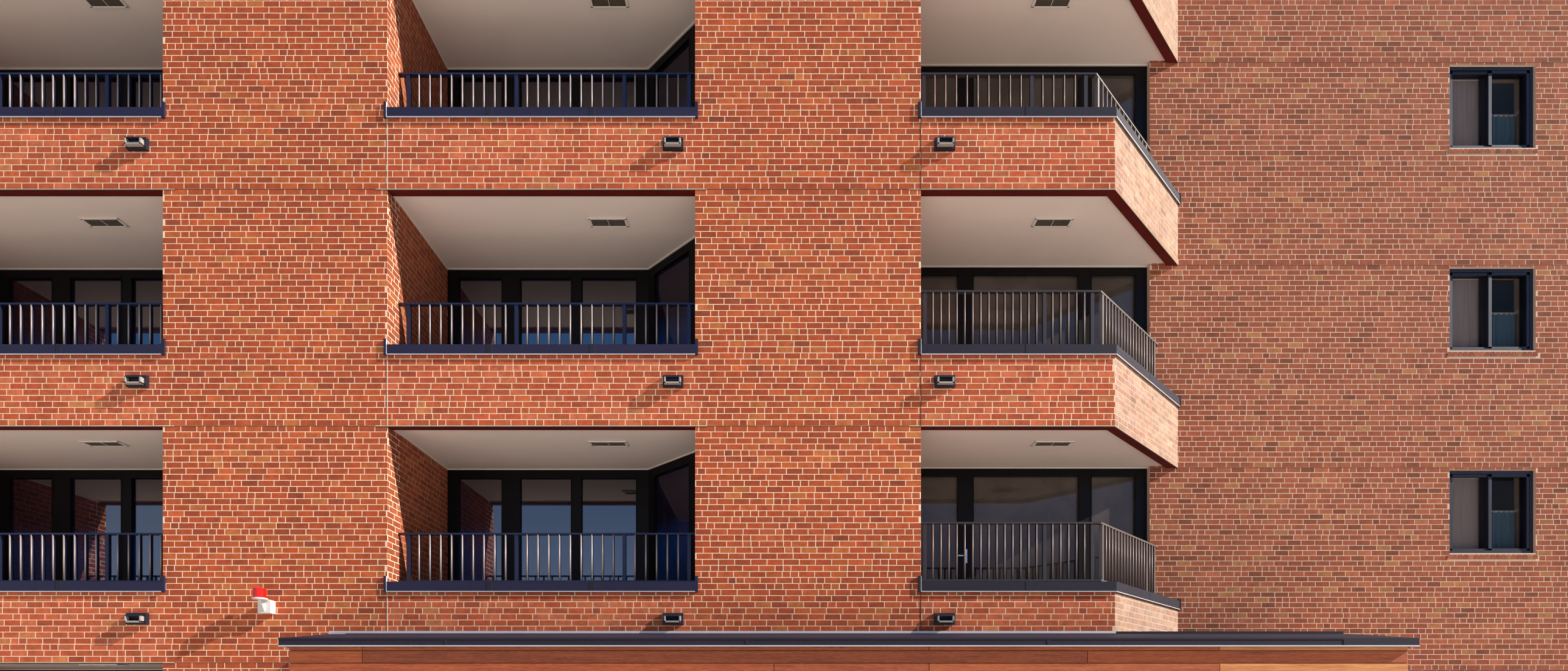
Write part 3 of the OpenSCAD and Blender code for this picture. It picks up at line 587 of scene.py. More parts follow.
# The angled faces get the sunlit palette and clay, a painted sun glare
angled = [r for k in UPPER for r in running_bond(angled_len, lintel_z(k), below_caps(k))]
angled += running_bond(angled_len, lintel_z(STOREYS), Z_TOP)
brick_piece("angled_bricks", [((X_C1, Y_A, 0), ANGLED, angled, "sunlit")], CLAY_SUN)

# Reveals: deep ones on the left of each balcony, shallow ones on the right, in the darker reveal palette, a
# painted shade
reveals = []
for x0, x1, first in COLUMNS:
    deep = (Y_B if x0 == X_C0 else Y_A + LOGGIA_DEEP) - Y_A
    for k in range(first, STOREYS):
        rows = running_bond(deep, max(k * STOREY, GROUND), soffit_z(k + 1))
        reveals.append(((x0, Y_A, 0), BACKWARD, rows, "reveal"))
        if x1 != X_C1:
            rows = running_bond(WALL, max(k * STOREY, GROUND), soffit_z(k + 1))
            reveals.append(((x1, Y_A + WALL, 0), -BACKWARD, rows, "reveal"))
brick_piece("reveal_bricks", reveals, CLAY)

# Bricks of the plain walls, with holes for their windows and the entrance box
SILL, SILL_LAP = 0.07, 0.03
BEHIND_BOX = 2.3
box_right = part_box("timber_sides")[1].x


def window_hole(u, k):
    """A window's opening with the brick on edge sill below it."""
    z = window_z(k)
    return [(u, u + WINDOW_W, z, z + WINDOW_H), (u - SILL_LAP, u + WINDOW_W + SILL_LAP, z - SILL, z)]


def plain_wall(name, corner, along, length, holes=(), palette="side"):
    brick_piece(name, [(corner, along, running_bond(length, FOOT, Z_TOP, holes), palette)], CLAY)


holes = [h for k in LEVELS for h in window_hole(SIDE_WIN - X_WALL, k)]
holes.append((PAST, box_right - X_WALL, PAST, BEHIND_BOX))
plain_wall("set_back_bricks", (X_WALL, Y_B, 0), RIGHT, X_RIGHT - X_WALL, holes)
plain_wall("left_side_bricks", (X_LEFT, Y_BACK, 0), -BACKWARD, Y_BACK - Y_A, palette="pier")
plain_wall("right_side_bricks", (X_RIGHT, Y_B, 0), BACKWARD, Y_BACK - Y_B)
half = (X_RIGHT - X_LEFT) / 2
for i, side in enumerate(("left", "right")):
    start = X_RIGHT - i * half
    holes = [h for k in LEVELS for x in back_windows for h in window_hole(start - x - WINDOW_W, k)]
    plain_wall(f"back_bricks_{side}", (start, Y_BACK, 0), -RIGHT, half, holes)

# Sills of bricks on edge
EDGE_PITCH, EDGE_BRICK, EDGE_BRICKS = 0.0697, 0.0607, 17
EDGE_OUT, EDGE_LOW, EDGE_HIGH = 0.006, 0.006, 0.004
sills = []
for k in LEVELS:
    low, high = window_z(k) - SILL + EDGE_LOW, window_z(k) - EDGE_HIGH
    runs = [((X_WALL, Y_B - EDGE_OUT, 0), RIGHT, SIDE_WIN - X_WALL)]
    runs += [((X_RIGHT, Y_BACK + EDGE_OUT, 0), -RIGHT, X_RIGHT - x - WINDOW_W) for x in back_windows]
    for corner, along, u in runs:
        starts = [u - SILL_LAP + i * EDGE_PITCH for i in range(EDGE_BRICKS)]
        sills.append((corner, along, [(s, s + EDGE_BRICK, low, high) for s in starts], "side"))
brick_piece("sill_bricks", sills, CLAY)

# Movement joints beside the openings, and the shelf angles' line across the brick
LAP, IN_WALL = 0.13, 0.002
JOINT_Y = (Y_A - 0.004, Y_A + IN_WALL)
JOINT_HALF, DARK_HALF, SHELF_OUT = 0.005, 0.004, 0.0022
joints, dark_joints, shelves = [], [], []
for k in CEILINGS:
    rise = (lintel_z(k), Z_TOP if k == STOREYS else cap_top(k) - 0.115)
    joints += [span((x - JOINT_HALF, x + JOINT_HALF), JOINT_Y, rise) for x in (X_L0, X_M0)]
    dark_joints.append(span((X_C0 - DARK_HALF, X_C0 + DARK_HALF), JOINT_Y, rise))
    z = (lintel_z(k) - 0.004, lintel_z(k) + 0.003)
    for x in ((X_LEFT, X_L0 - LAP), (X_L1 + LAP, X_M0 - LAP), (X_M1 + LAP, X_C0 - LAP)):
        shelves.append(span(x, (Y_A - SHELF_OUT, Y_A + IN_WALL), z))
    shelves.append(span((X_WALL, X_RIGHT), (Y_B - SHELF_OUT, Y_B + IN_WALL), z))
boxes("movement_joints", joints, SEALANT, "brick", 0.001)
boxes("corner_movement_joints", dark_joints, SEAL_DARK, "brick", 0.001)
boxes("shelf_lines", shelves, SHELF, "brick", 0)

# Front edges of the lintels, run into the piers on both sides
EDGE_Y = (-0.005, 0.004)
edges = []
for k in CEILINGS:
    z = (lintel_z(k) - 0.01, lintel_z(k) - 0.002)
    edges += [moved(0, Y_A) @ span((x0 - LAP, x1 + LAP), EDGE_Y, z) for x0, x1, _ in LOGGIAS]
    edges.append(moved(0, Y_A) @ span((X_C0 - LAP, X_C1 + 0.002), EDGE_Y, z))
    edges.append(turned(X_C1, Y_A) @ span((0, angled_len), EDGE_Y, z))
boxes("lintel_edges", edges, LINTEL_EDGE, "lintel_steel", 0.001)

# Drip edges and overlapped seams of the balcony caps, each in the frame of its wall's face
CAP_OUT, CAP_FACE = 0.02, 0.106
DRIP_Y, DRIP_H, MITRE = (-CAP_OUT - 0.0085, -CAP_OUT), 0.0095, 0.0118
END_X, END_Y, END_Z = (-0.005, 0.001), (-0.0235, -0.002), (-0.112, 0.06)
SEAM, CORNER_SEAM, ANGLED_SEAM = 0.06, 0.55, 1.03
drips, seams = [], []


def cap_seam(face, x, top):
    """An overlap of two lengths of cap: on its front and on its top."""
    wide = (x - SEAM / 2, x + SEAM / 2)
    return [face @ span(wide, (-CAP_OUT - 0.0045, -CAP_OUT), (top - CAP_FACE, top + 0.002)),
            face @ span(wide, (-CAP_OUT - 0.0025, LEAF + CAP_OUT + 0.002), (top - 0.001, top + 0.002))]


for x0, x1, first in COLUMNS:
    turns = x1 == X_C1
    for k in range(first, STOREYS):
        top = cap_top(k)
        low = (top - CAP_FACE - DRIP_H, top - CAP_FACE)
        face = moved(0, Y_A)
        drips.append(face @ span((x0, x1 + (MITRE if turns else 0)), DRIP_Y, low))
        drips.append(face @ span([x0 + x for x in END_X], END_Y, [top + z for z in END_Z]))
        for x in [x0 + CORNER_SEAM * (x1 - x0)] if turns else np.linspace(x0, x1, 4)[1:3]:
            seams += cap_seam(face, x, top)
        if turns:
            face = turned(X_C1, Y_A)
            drips.append(face @ span((-0.011, angled_len + 0.02), DRIP_Y, low))
            seams += cap_seam(face, ANGLED_SEAM, top)
boxes("cap_drip_edges", drips, DRIP, "pale_metal", 0.001)
boxes("cap_seams", seams, CAP_DARK, "dark_metal", 0.001)

# Trims round the soffits
TRIM_W, TRIM_T = 0.022, 0.012
trims = []
for x0, x1, first in LOGGIAS:
    for k in range(first + 1, STOREYS + 1):
        z = (soffit_z(k) - TRIM_T, soffit_z(k))
        back = Y_A + LOGGIA_DEEP
        trims.append(span((x0, x0 + SCREEN_X), (back - TRIM_W, back), z))
        trims.append(turned(x0 + SCREEN_X, back, -45) @ span((-TRIM_T, 1.80), (-TRIM_W, 0), z))
        trims.append(span((x0, x0 + TRIM_T), (Y_A + LEAF, back), z))
for k in range(2, STOREYS + 1):
    z = (soffit_z(k) - TRIM_T, soffit_z(k))
    back = Y_A + CORNER_DEEP
    trims.append(span((X_C0, X_WALL), (back - TRIM_W, back), z))
    trims.append(span((X_C0, X_C0 + TRIM_T), (Y_A + LEAF, back - 0.03), z))
boxes("soffit_trims", trims, TRIM, "soffit_board", 0.002)

# Frames of the soffits' grilles, with a bar across the middle: left edge and lowest ceiling of each column
GRILLES = [(X_L0 + 2.043, 1), (X_M0 + 2.123, 2), (X_C0 + 1.469, 2)]
GRILLE_W, GRILLE_Y = 0.43, (Y_A + 0.528, Y_A + 0.681)
RIM_OUT, RIM_IN, BAR_HALF = 0.012, 0.016, 0.003
grille_frames = []
for x, lowest in GRILLES:
    for k in range(lowest, STOREYS + 1):
        z = (soffit_z(k) - 0.0155, soffit_z(k) - 0.004)
        y0, y1 = GRILLE_Y
        right, middle = x + GRILLE_W, x + GRILLE_W / 2
        across = (x - RIM_OUT, right + RIM_OUT)
        grille_frames += [span(across, (y0 - RIM_OUT, y0 + RIM_IN), z),
                          span(across, (y1 - RIM_IN, y1 + RIM_OUT), z),
                          span((x - RIM_OUT, x + RIM_IN), GRILLE_Y, z),
                          span((right - RIM_IN, right + RIM_OUT), GRILLE_Y, z),
                          span((middle - BAR_HALF, middle + BAR_HALF), GRILLE_Y, z)]
boxes("grille_frames", grille_frames, TRIM, "pale_metal", 0.002)

# Vent hoods: a pale collar stands out from each, its pale colour a painted highlight along the rim
HOODS = (X_L1 - 0.378, X_M1 - 0.357, X_C0 + 0.147)
COLLAR_X, COLLAR_Z, COLLAR_Y = (0.023, 0.204), (-0.010, 0.071), (Y_A - 0.0925, Y_A - 0.0455)
COLLAR, COLLAR_OUT = 0.0165, 0.0015
collars = []
for k in UPPER:
    z0, z1 = (k * STOREY + z for z in COLLAR_Z)
    for hood in HOODS:
        x0, x1 = (hood + x for x in COLLAR_X)
        collars += [span((x0 - COLLAR_OUT, x0 + COLLAR), COLLAR_Y, (z0 - 0.001, z1 - 0.012)),
                    span((x1 - COLLAR, x1 + COLLAR_OUT), COLLAR_Y, (z0 - 0.001, z1 - 0.012)),
                    span((x0 - COLLAR_OUT, x1 + COLLAR_OUT), COLLAR_Y, (z0 - COLLAR_OUT, z0 + COLLAR))]
boxes("hood_collars", collars, HOOD_RIM_HIGHLIGHT, "hood_metal", 0.001)


# Rounded faces on the fronts of the railing bars
def bar_faces(name, runs, material, radius=0.009, depth=0.016, steps=8):
    """Half round strips that stand on the bars' fronts: (matrix, first, pitch, bars, post every, z0, z1)."""
    mesh = bmesh.new()
    for matrix, first, pitch, count, every, z0, z1 in runs:
        for i in range(count + 1):
            if i % every == 0 or i == count:
                continue
            arc = [(first + i * pitch - radius * math.cos(math.pi * j / steps),
                    -depth - radius * math.sin(math.pi * j / steps)) for j in range(steps + 1)]
            rings = [[mesh.verts.new(matrix @ Vector((x, y, z))) for x, y in arc] for z in (z0, z1)]
            for (a, b), (c, d) in zip(zip(rings[0], rings[0][1:]), zip(rings[1], rings[1][1:])):
                mesh.faces.new((a, b, d, c)).smooth = True
            mesh.faces.new(rings[0][::-1])
            mesh.faces.new(rings[1])
            mesh.faces.new((rings[0][-1], rings[0][0], rings[1][0], rings[1][-1]))
    mesh.normal_update()
    bmesh.ops.recalc_face_normals(mesh, faces=mesh.faces[:])
    return place_bmesh(name, mesh, material, "rail_metal")


BAR_FOOT, RAIL_DEEP = 0.06, 0.02
RAIL_BACK, CLOSE_RAIL_BACK, TURN_POST = 0.27, 0.208, 0.025
LOGGIA_BAR, CORNER_BAR, ANGLED_BAR = 0.114, 0.082, 0.03


def bars(matrix, length, close, k, first):
    """One run of bars, spaced as the CAD railings are."""
    pitch, every, rise = (0.091, 15, 1.165) if close else (0.124, 10, 1.055)
    count = math.floor((length - first) / pitch)
    return matrix, first, pitch, count, every, cap_top(k) + BAR_FOOT, k * STOREY + rise - RAIL_DEEP


loggia_runs = [bars(moved(x0, Y_A + RAIL_BACK), x1 - x0, False, k, LOGGIA_BAR)
               for x0, x1, first in LOGGIAS for k in range(first, STOREYS)]
corner_runs, angled_runs = [], []
for k in UPPER:
    close = k < STOREYS - 1
    back = CLOSE_RAIL_BACK if close else RAIL_BACK
    turn_x = X_C1 - back * HALF_TURN
    corner_runs.append(bars(moved(X_C0, Y_A + back), turn_x - X_C0, close, k, CORNER_BAR))
    along = turned(turn_x, Y_A + back) @ moved(TURN_POST, 0)
    angled_runs.append(bars(along, (Y_B - Y_A - back) / C45 - 2 * TURN_POST, close, k, ANGLED_BAR))
bar_faces("loggia_bar_faces", loggia_runs, BAR_FACE)
bar_faces("corner_bar_faces", corner_runs + angled_runs, BAR_BRONZE, 0.007)

# Beads round the panes, by the panes' edges along each run of frames
LOGGIA_PANES = ((0.129, 0.728), (0.943, 1.643), (1.752, 2.503))
SCREEN_PANES = ((0.11, SCREEN_LEN / 2 - 0.045), (SCREEN_LEN / 2 + 0.045, SCREEN_LEN - 0.11))
CORNER_PANES = ((0.134, 0.784), (0.964, 2.37), (2.513, 3.112))
BEAD = 0.016
BEAD_Y = (-0.004, 0.012)
beads = []


def bead(face, panes, z0, z1):
    for x0, x1 in panes:
        beads.extend(face @ m for m in (
            span((x0, x1), BEAD_Y, (z0, z0 + BEAD)), span((x0, x1), BEAD_Y, (z1 - BEAD, z1)),
            span((x0, x0 + BEAD), BEAD_Y, (z0, z1)), span((x1 - BEAD, x1), BEAD_Y, (z0, z1))))


for x0, _, first in LOGGIAS:
    for k in range(first, STOREYS):
        z = (max(k * STOREY, GROUND) + PANE_LOW, k * STOREY + PANE_HIGH)
        bead(moved(x0, Y_A + LOGGIA_DEEP), LOGGIA_PANES, *z)
        bead(turned(x0 + SCREEN_X, Y_A + LOGGIA_DEEP, -45), SCREEN_PANES, *z)
for k in UPPER:
    bead(moved(X_C0, Y_A + CORNER_DEEP), CORNER_PANES, k * STOREY + PANE_LOW, k * STOREY + PANE_HIGH)
boxes("pane_beads", beads, FRAME, "frame_metal", 0.001)

# Outer frames and two sliding sashes of each wall window, near the face of the brick
WINDOW_SET, LINING_BACK, SASH_DEEP = 0.035, 0.091, 0.036
LINING_X, LINING_Z = (0.001, 0.042, 1.083, 1.124), (0.016, 0.057, 1.058, 1.099)
SASHES, SASH_Z = ((0.04, 0.585, 0.018), (0.545, 1.085, 0.006)), (0.04, 0.085, 1.02, 1.06)
LEFT_STILE, RIGHT_STILE = 0.045, 0.04
sashes, linings = [], []
for k in LEVELS:
    low, sill, head, high = (window_z(k) + z for z in LINING_Z)
    foot, bottom, top, tip = (window_z(k) + z for z in SASH_Z)
    for x, face, inward in [(SIDE_WIN, Y_B, 1)] + [(x, Y_BACK, -1) for x in back_windows]:
        y = face + inward * WINDOW_SET
        rim = sorted((y, face + inward * LINING_BACK))
        x0, x1, x2, x3 = (x + across for across in LINING_X)
        linings += [span((x0, x1), rim, (low, high)), span((x2, x3), rim, (low, high)),
                    span((x1, x2), rim, (head, high)), span((x1, x2), rim, (low, sill))]
        for a, b, deep in SASHES:
            x0, x1 = x + a, x + b
            ys = sorted((y + inward * deep, y + inward * (deep + SASH_DEEP)))
            sashes += [span((x0, x1), ys, (foot, bottom)), span((x0, x1), ys, (top, tip)),
                       span((x0, x0 + LEFT_STILE), ys, (foot, tip)),
                       span((x1 - RIGHT_STILE, x1), ys, (foot, tip))]
boxes("window_sashes", sashes, FRAME_NAVY, "frame_metal", 0.002)
boxes("window_outer_frames", linings, FRAME_NAVY, "frame_metal", 0.001)

# Blinds and curtains: each cloth is a sheet of its own, on a roller that two brackets hold to its frame
CLOTH, ROLLER, BRACKET, PLATE_HALF = 0.003, 0.014, 0.03, 0.003
CLOTH_TOP = 2.1
rollers = []


def hang(name, material, cloths, wave=0.0, pitch=0.09, ends=(0.012, 0.012)):
    """Flat blinds, or curtains in folds, behind panes: (x0, x1, y, back of the frame, z0, z1).
    The roller reaches past both ends of its cloth."""
    for i, (x0, x1, y, back, z0, z1) in enumerate(cloths):
        steps = max(2, int((x1 - x0) / (pitch / 6))) if wave else 2
        xs = np.linspace(x0, x1, steps + 1)
        ys = y + wave * np.sin((xs - x0) / pitch * 2 * math.pi)
        mesh = bmesh.new()
        rows = [[mesh.verts.new((across, deep, z)) for z in (z0, z1)] for across, deep in zip(xs, ys)]
        for a, b in zip(rows, rows[1:]):
            mesh.faces.new((a[0], b[0], b[1], a[1]))
        sheet = place_bmesh(f"{name}_{i}", mesh, material)
        sheet.modifiers.new("thickness", "SOLIDIFY").thickness = CLOTH
        rollers.append((x0 - ends[0], x1 + ends[1], y, back, z1))


# Heights of the hems in the wall windows, and the loggias' cloths: left edge, right edge, length by storey
FRAME_BACK, HEMS, BACK_HEMS = 0.17, (0.12, 0.06), (0.15, 0.5, 0.05, 0.75, 0.3, 0.6)
LOGGIA_CLOTHS = ((0.14, 0.72, (0.62, 0.77, 0.72, 0.52)), (0.95, 1.64, (0.57, 0.32, 0.82, 0.52)),
                 (1.76, 2.5, (0.52, 0.27, 0.77, 0.52)))
CORNER_CURTAINS = ((2.55, 2.85), (0.98, 1.16))
side_back, room_back = Y_B + FRAME_BACK, Y_BACK - FRAME_BACK
loggia_back, corner_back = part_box("loggia_frames")[1].y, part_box("corner_frames")[1].y
back_cloths, side_cloths, side_curtains = [], [], []
for k in LEVELS:
    z = window_z(k)
    side_cloths.append((SIDE_WIN + 0.05, SIDE_WIN + 0.56, Y_B + 0.185, side_back, z + HEMS[k % 2], z + 1.05))
    side_curtains.append((SIDE_WIN + 0.66, SIDE_WIN + 1.06, Y_B + 0.24, side_back, z + 0.05, z + 0.62))
    for i, x in enumerate(back_windows):
        hem = BACK_HEMS[(i * 5 + k * 2) % len(BACK_HEMS)] * 0.3
        back_cloths.append((x + 0.03, x + 1.09, Y_BACK - 0.25, room_back, z + hem, z + 1.07))
loggia_cloths = []
for x0, _, first in LOGGIAS:
    for k in range(first, STOREYS):
        head = k * STOREY + CLOTH_TOP
        for a, b, drops in LOGGIA_CLOTHS:
            loggia_cloths.append((x0 + a, x0 + b, loggia_back + 0.08, loggia_back, head - drops[k], head))
corner_cloths, corner_curtains = [], []
for k in UPPER:
    foot, head, y = k * STOREY + 0.05, k * STOREY + CLOTH_TOP, corner_back + 0.1
    corner_cloths.append((X_C0 + 0.14, X_C0 + 0.78, y, corner_back, head - 0.35, head))
    corner_curtains += [(X_C0 + a, X_C0 + b, y, corner_back, foot, head) for a, b in CORNER_CURTAINS]
hang("loggia_blind", BLIND, loggia_cloths)
hang("corner_blind", BLIND, corner_cloths)
hang("back_blind", BLIND, back_cloths)
hang("side_blind", BLIND_PALE, side_cloths)
hang("corner_curtain", CURTAIN, corner_curtains, wave=0.02)
# These hang at half height, on rods from the window's middle bar to its right one
hang("side_curtain", TEAL, side_curtains, wave=0.018, pitch=0.07, ends=(0.082, 0.022))

mesh = bmesh.new()
for x0, x1, y, back, z in rollers:
    axis = Matrix.Translation(((x0 + x1) / 2, y, z)) @ Matrix.Rotation(math.pi / 2, 4, "Y")
    bmesh.ops.create_cone(mesh, cap_ends=True, segments=12, radius1=ROLLER, radius2=ROLLER,
                          depth=x1 - x0, matrix=axis)
    for x in (x0, x1):
        bracket = span((x - PLATE_HALF, x + PLATE_HALF), sorted((back, y)), (z - ROLLER, z + BRACKET))
        bmesh.ops.create_cube(mesh, size=1, matrix=bracket)
place_bmesh("blind_rollers", mesh, TRIM, "pale_metal")

# Boards of the entrance box: the top row is cut narrow, and the places of the butt joints repeat
BOARD, BOARD_GAP, NARROW = 0.125, 0.005, 0.038
BOARD_OUT, BOARD_EASE, BOARD_FOOT = 0.012, 0.003, 0.01
BUTTS = ((-3.506, 2.175, 5.089), (-3.506, 3.763), (0.62, 2.175, 5.089), (-1.3, 3.763))


def board_rows(u0, u1, z0, z1, cuts=((),)):
    """Rows of boards from the top down, with butt joints."""
    out, top, row = [], z1, 0
    while top > z0 + 0.02:
        low = max(top - (NARROW if row == 0 else BOARD - BOARD_GAP), z0)
        places = [u0, *(u for u in cuts[row % len(cuts)] if u0 < u < u1), u1]
        out += [(a + 0.001, b - 0.001, low, top) for a, b in zip(places, places[1:])]
        top = low - BOARD_GAP
        row += 1
    return out


timber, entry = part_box("timber_front"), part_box("entrance_doors")
box_left, box_face = timber[0].x, timber[0].y
eave, entry_top = timber[1].z, entry[1].z
wide = timber[1].x - box_left
butts = [[x - box_left for x in row] for row in BUTTS]
front_rows = board_rows(0, wide, entry_top, eave, butts)
for u0, u1 in ((0, entry[0].x - box_left), (entry[1].x - box_left, wide)):
    front_rows += board_rows(u0, u1, BOARD_FOOT, entry_top - BOARD_GAP, butts[1:])
turn = X_C1 - box_left
red = [r for r in front_rows if r[0] <= turn]
tan = [r for r in front_rows if r[0] > turn]
brick_piece("front_boards", [
    ((box_left, box_face, 0), RIGHT, red, "red_boards"),
    ((box_left, box_face, 0), RIGHT, tan, "tan_boards"),
], BOARDS_FRONT, "timber", BOARD_OUT, BOARD_EASE)
brick_piece("side_boards", [
    ((box_left, Y_A, 0), -BACKWARD, board_rows(0, Y_A - box_face, BOARD_FOOT, eave), "red_boards"),
    ((timber[1].x, box_face, 0), BACKWARD, board_rows(0, Y_B - box_face, BOARD_FOOT, eave), "tan_boards"),
], BOARDS_SIDE, "timber", BOARD_OUT, BOARD_EASE)

# Pale edges of the entrance box's fascia and flashing, and the fascia's raised band and joints
BAND_END, STRAP_HALF, EAVE_DRIP, RETURN = 6.3, 0.012, 0.008, 0.18
FASCIA_JOINTS = (-2.65, 0.35, 3.35, BAND_END)
roof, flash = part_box("box_roof"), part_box("roof_flashing")
y = roof[0].y
flash_y = (flash[0].y - 0.003, flash[0].y + IN_WALL)
fascia = [span((roof[0].x, roof[1].x), (y - 0.004, y + IN_WALL), (eave - 0.004, eave + EAVE_DRIP)),
          span((flash[0].x, X_C1), flash_y, (flash[1].z - 0.026, flash[1].z + 0.001)),
          span((flash[0].x, flash[0].x + RETURN), flash_y, (flash[0].z + 0.001, flash[1].z - 0.027))]
boxes("fascia_drips", fascia, FLASH, "flashing", 0.001)
bands = [span((roof[0].x, BAND_END), (y - 0.006, y + 0.03), (eave + 0.066, eave + 0.084))]
bands += [span((x - STRAP_HALF, x + STRAP_HALF), (y - 0.0045, y + IN_WALL), (eave + EAVE_DRIP, eave + 0.079))
          for x in FASCIA_JOINTS]
boxes("fascia_bands", bands, CAP_DARK, "dark_metal", 0.001)

# Roof membrane: sheets with lapped seams, turned up at the parapets
SHEET, LAPPED, UP = 0.01, 0.014, 0.008
FIRST_LAP, LAP_EVERY, LAP_HALF = 1.3, 1.0, 0.03
y_in, y_set_in, y_back_in = Y_A + WALL, Y_B + WALL, Y_BACK - WALL
x_in, x_right_in = X_LEFT + WALL, X_RIGHT - WALL
turn_x = X_C1 - WALL * HALF_TURN
turn_end = turn_x + Y_B - y_in
upstand = (Z_ROOF, Z_TOP - 0.06)
sheets = [span((x_in, X_C0), (y_in, y_back_in), (Z_ROOF, Z_ROOF + SHEET)),
          span((X_C0, x_right_in), (y_set_in, y_back_in), (Z_ROOF, Z_ROOF + SHEET))]
for x in np.arange(X_LEFT + FIRST_LAP, X_RIGHT - 0.4, LAP_EVERY):
    front_y = y_in if x < X_C0 else y_set_in
    sheets.append(span((x - LAP_HALF, x + LAP_HALF), (front_y, y_back_in), (Z_ROOF, Z_ROOF + LAPPED)))
for x, y in (((x_in, turn_x), (y_in, y_in + UP)), ((X_WALL, x_right_in), (y_set_in, y_set_in + UP)),
             ((X_WALL - UP, X_WALL), (Y_B, y_set_in)), ((x_in, x_right_in), (y_back_in - UP, y_back_in)),
             ((x_in, x_in + UP), (y_in, y_back_in)), ((x_right_in - UP, x_right_in), (y_set_in, y_back_in))):
    sheets.append(span(x, y, upstand))
sheets.append(turned(turn_x, y_in) @ span((0, (turn_end - turn_x) / C45), (0, UP), upstand))
boxes("roof_membrane", sheets, MEMBRANE, "concrete", 0.002)


def flat_sheet(name, outline, z0, z1, material, slot):
    """A plate by its outline in plan."""
    mesh = bmesh.new()
    face = mesh.faces.new([mesh.verts.new((x, y, z0)) for x, y in outline])
    raised = bmesh.ops.extrude_face_region(mesh, geom=[face])["geom"]
    tops = [v for v in raised if isinstance(v, bmesh.types.BMVert)]
    bmesh.ops.translate(mesh, vec=(0, 0, z1 - z0), verts=tops)
    bmesh.ops.recalc_face_normals(mesh, faces=mesh.faces[:])
    return place_bmesh(name, mesh, material, slot)


corner = [(X_C0, y_in), (turn_x, y_in), (turn_end, Y_B), (X_WALL, Y_B), (X_WALL, y_set_in), (X_C0, y_set_in)]
flat_sheet("corner_membrane", corner, Z_ROOF, Z_ROOF + SHEET, MEMBRANE, "concrete")

# Cover plates on the joints of the parapet's coping, across it and along it
PLATE, PLATE_OUT, PLATE_EVERY = 0.06, 0.028, 2.4
PLATE_Z = (Z_TOP + 0.002, Z_TOP + 0.083)
SET_BACK_PLATES = (7.9, 10.3)


def plates_across(xs, y):
    return [span((x - PLATE, x + PLATE), (y - PLATE_OUT, y + WALL + PLATE_OUT), PLATE_Z) for x in xs]


plates = plates_across(np.arange(X_LEFT + PLATE_EVERY, X_C1 - 0.5, PLATE_EVERY), Y_A)
plates += plates_across(np.arange(X_LEFT + PLATE_EVERY, X_RIGHT - 0.5, PLATE_EVERY), y_back_in)
plates += plates_across(SET_BACK_PLATES, Y_B)
plates += [span((x - PLATE_OUT, x + WALL + PLATE_OUT), (y - PLATE, y + PLATE), PLATE_Z)
           for x in (X_LEFT, x_right_in) for y in np.arange(Y_B + 1.2, Y_BACK - 1, PLATE_EVERY)]
boxes("coping_joints", plates, CAP_DARK, "dark_metal", 0.002)

# Stage
FLOOR = 220
ground = bpy.data.meshes.new("floor")
corners = [(-FLOOR, -FLOOR, 0), (FLOOR, -FLOOR, 0), (FLOOR, FLOOR, 0), (-FLOOR, FLOOR, 0)]
ground.from_pydata(corners, [], [(0, 1, 2, 3)])
PALE = mottled("pale_floor", (196, 193, 188), 0.9, scale=0.3, spread=0.02, fine=30, bump=0.05)
ground.materials.append(PALE)
floor = bpy.data.objects.new("floor", ground)
bpy.context.scene.collection.objects.link(floor)


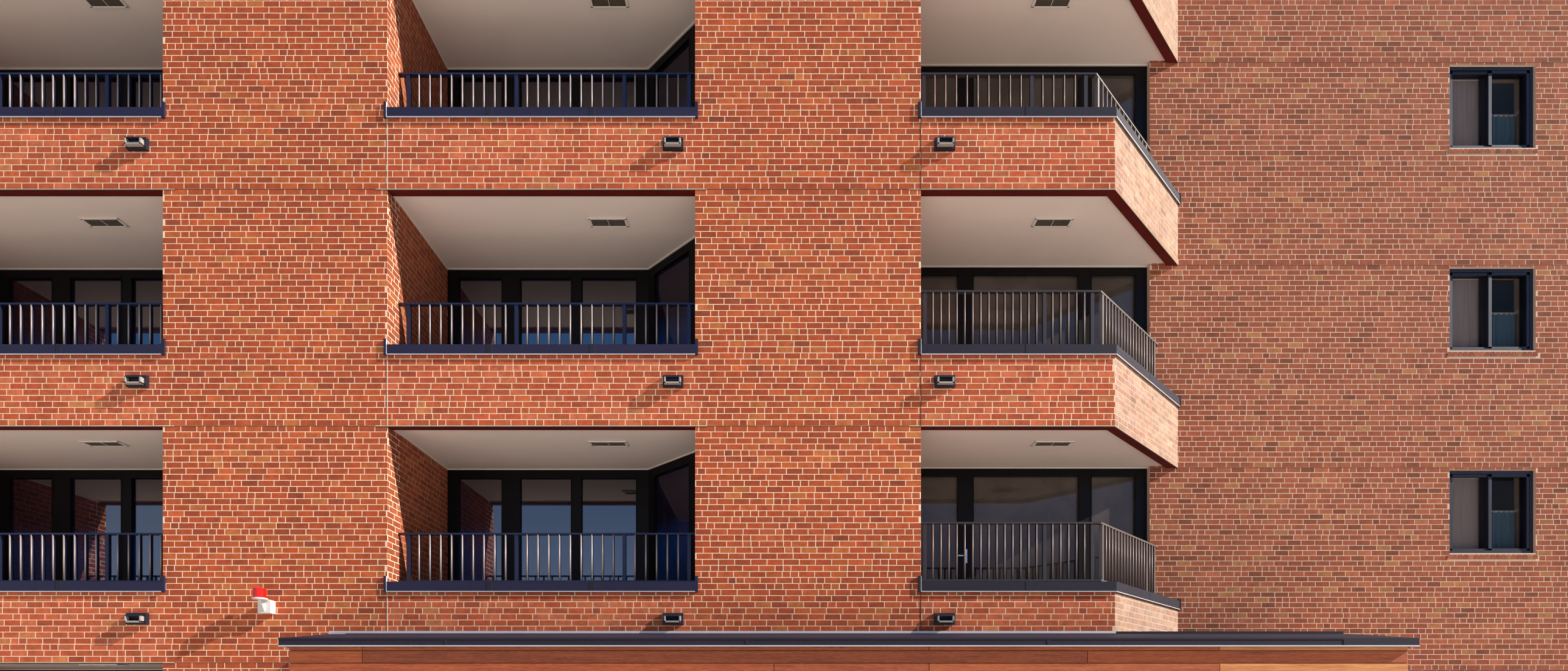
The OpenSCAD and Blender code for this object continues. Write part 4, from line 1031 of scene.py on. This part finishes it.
def studio():
    """Plain light for the object. The camera, glass and metal see a pale sky instead."""
    world = bpy.data.worlds.new("studio")
    world.use_nodes = True
    tree = world.node_tree
    light = tree.nodes["Background"]
    light.inputs["Color"].default_value = (0.84, 0.90, 1.0, 1)
    light.inputs["Strength"].default_value = 0.24
    sky = tree.nodes.new("ShaderNodeBackground")
    ramp = tree.nodes.new("ShaderNodeValToRGB")
    ramp.color_ramp.elements[0].color = (0.86, 0.90, 0.95, 1)
    ramp.color_ramp.elements[1].color = (0.16, 0.40, 0.90, 1)
    ramp.color_ramp.elements[1].position = 0.32
    parts = tree.nodes.new("ShaderNodeSeparateXYZ")
    tree.links.new(tree.nodes.new("ShaderNodeTexCoord").outputs["Generated"], parts.inputs[0])
    tree.links.new(parts.outputs["Z"], ramp.inputs["Fac"])
    tree.links.new(ramp.outputs["Color"], sky.inputs["Color"])
    path = tree.nodes.new("ShaderNodeLightPath")
    seen = path.outputs["Is Camera Ray"]
    for other in ("Is Glossy Ray", "Is Transmission Ray"):
        either = tree.nodes.new("ShaderNodeMath")
        either.operation = "MAXIMUM"
        tree.links.new(seen, either.inputs[0])
        tree.links.new(path.outputs[other], either.inputs[1])
        seen = either.outputs[0]
    blend = tree.nodes.new("ShaderNodeMixShader")
    tree.links.new(seen, blend.inputs[0])
    tree.links.new(light.outputs[0], blend.inputs[1])
    tree.links.new(sky.outputs[0], blend.inputs[2])
    tree.links.new(blend.outputs[0], tree.nodes["World Output"].inputs["Surface"])
    return world


def lamp(name, kind, energy, colour):
    data = bpy.data.lights.new(name, kind)
    data.energy = energy
    data.color = colour
    holder = bpy.data.objects.new(name, data)
    bpy.context.scene.collection.objects.link(holder)
    return holder


# A low sun from the right that grazes the front, and light thrown up from the ground
SUN_WAY, SUN_POWER, SUN_DEGREES = Vector((-0.833, 0.189, -0.519)), 6.8, 0.6
BOUNCE_POWER, BOUNCE_W, BOUNCE_D = 560, 26, 10
bpy.context.scene.world = studio()
sun = lamp("key", "SUN", SUN_POWER, (1.0, 0.93, 0.82))
sun.data.angle = math.radians(SUN_DEGREES)
sun.rotation_euler = SUN_WAY.to_track_quat("-Z", "Y").to_euler()
bounce = lamp("ground_bounce", "AREA", BOUNCE_POWER, (1.0, 0.93, 0.86))
bounce.data.shape = "RECTANGLE"
bounce.data.size = BOUNCE_W
bounce.data.size_y = BOUNCE_D
bounce.location = (0, Y_A - 7.5, 0.15)
bounce.rotation_euler = (math.pi, 0, 0)
bounce.visible_camera = False
bounce.visible_glossy = False
bpy.context.scene.view_settings.view_transform = "Standard"
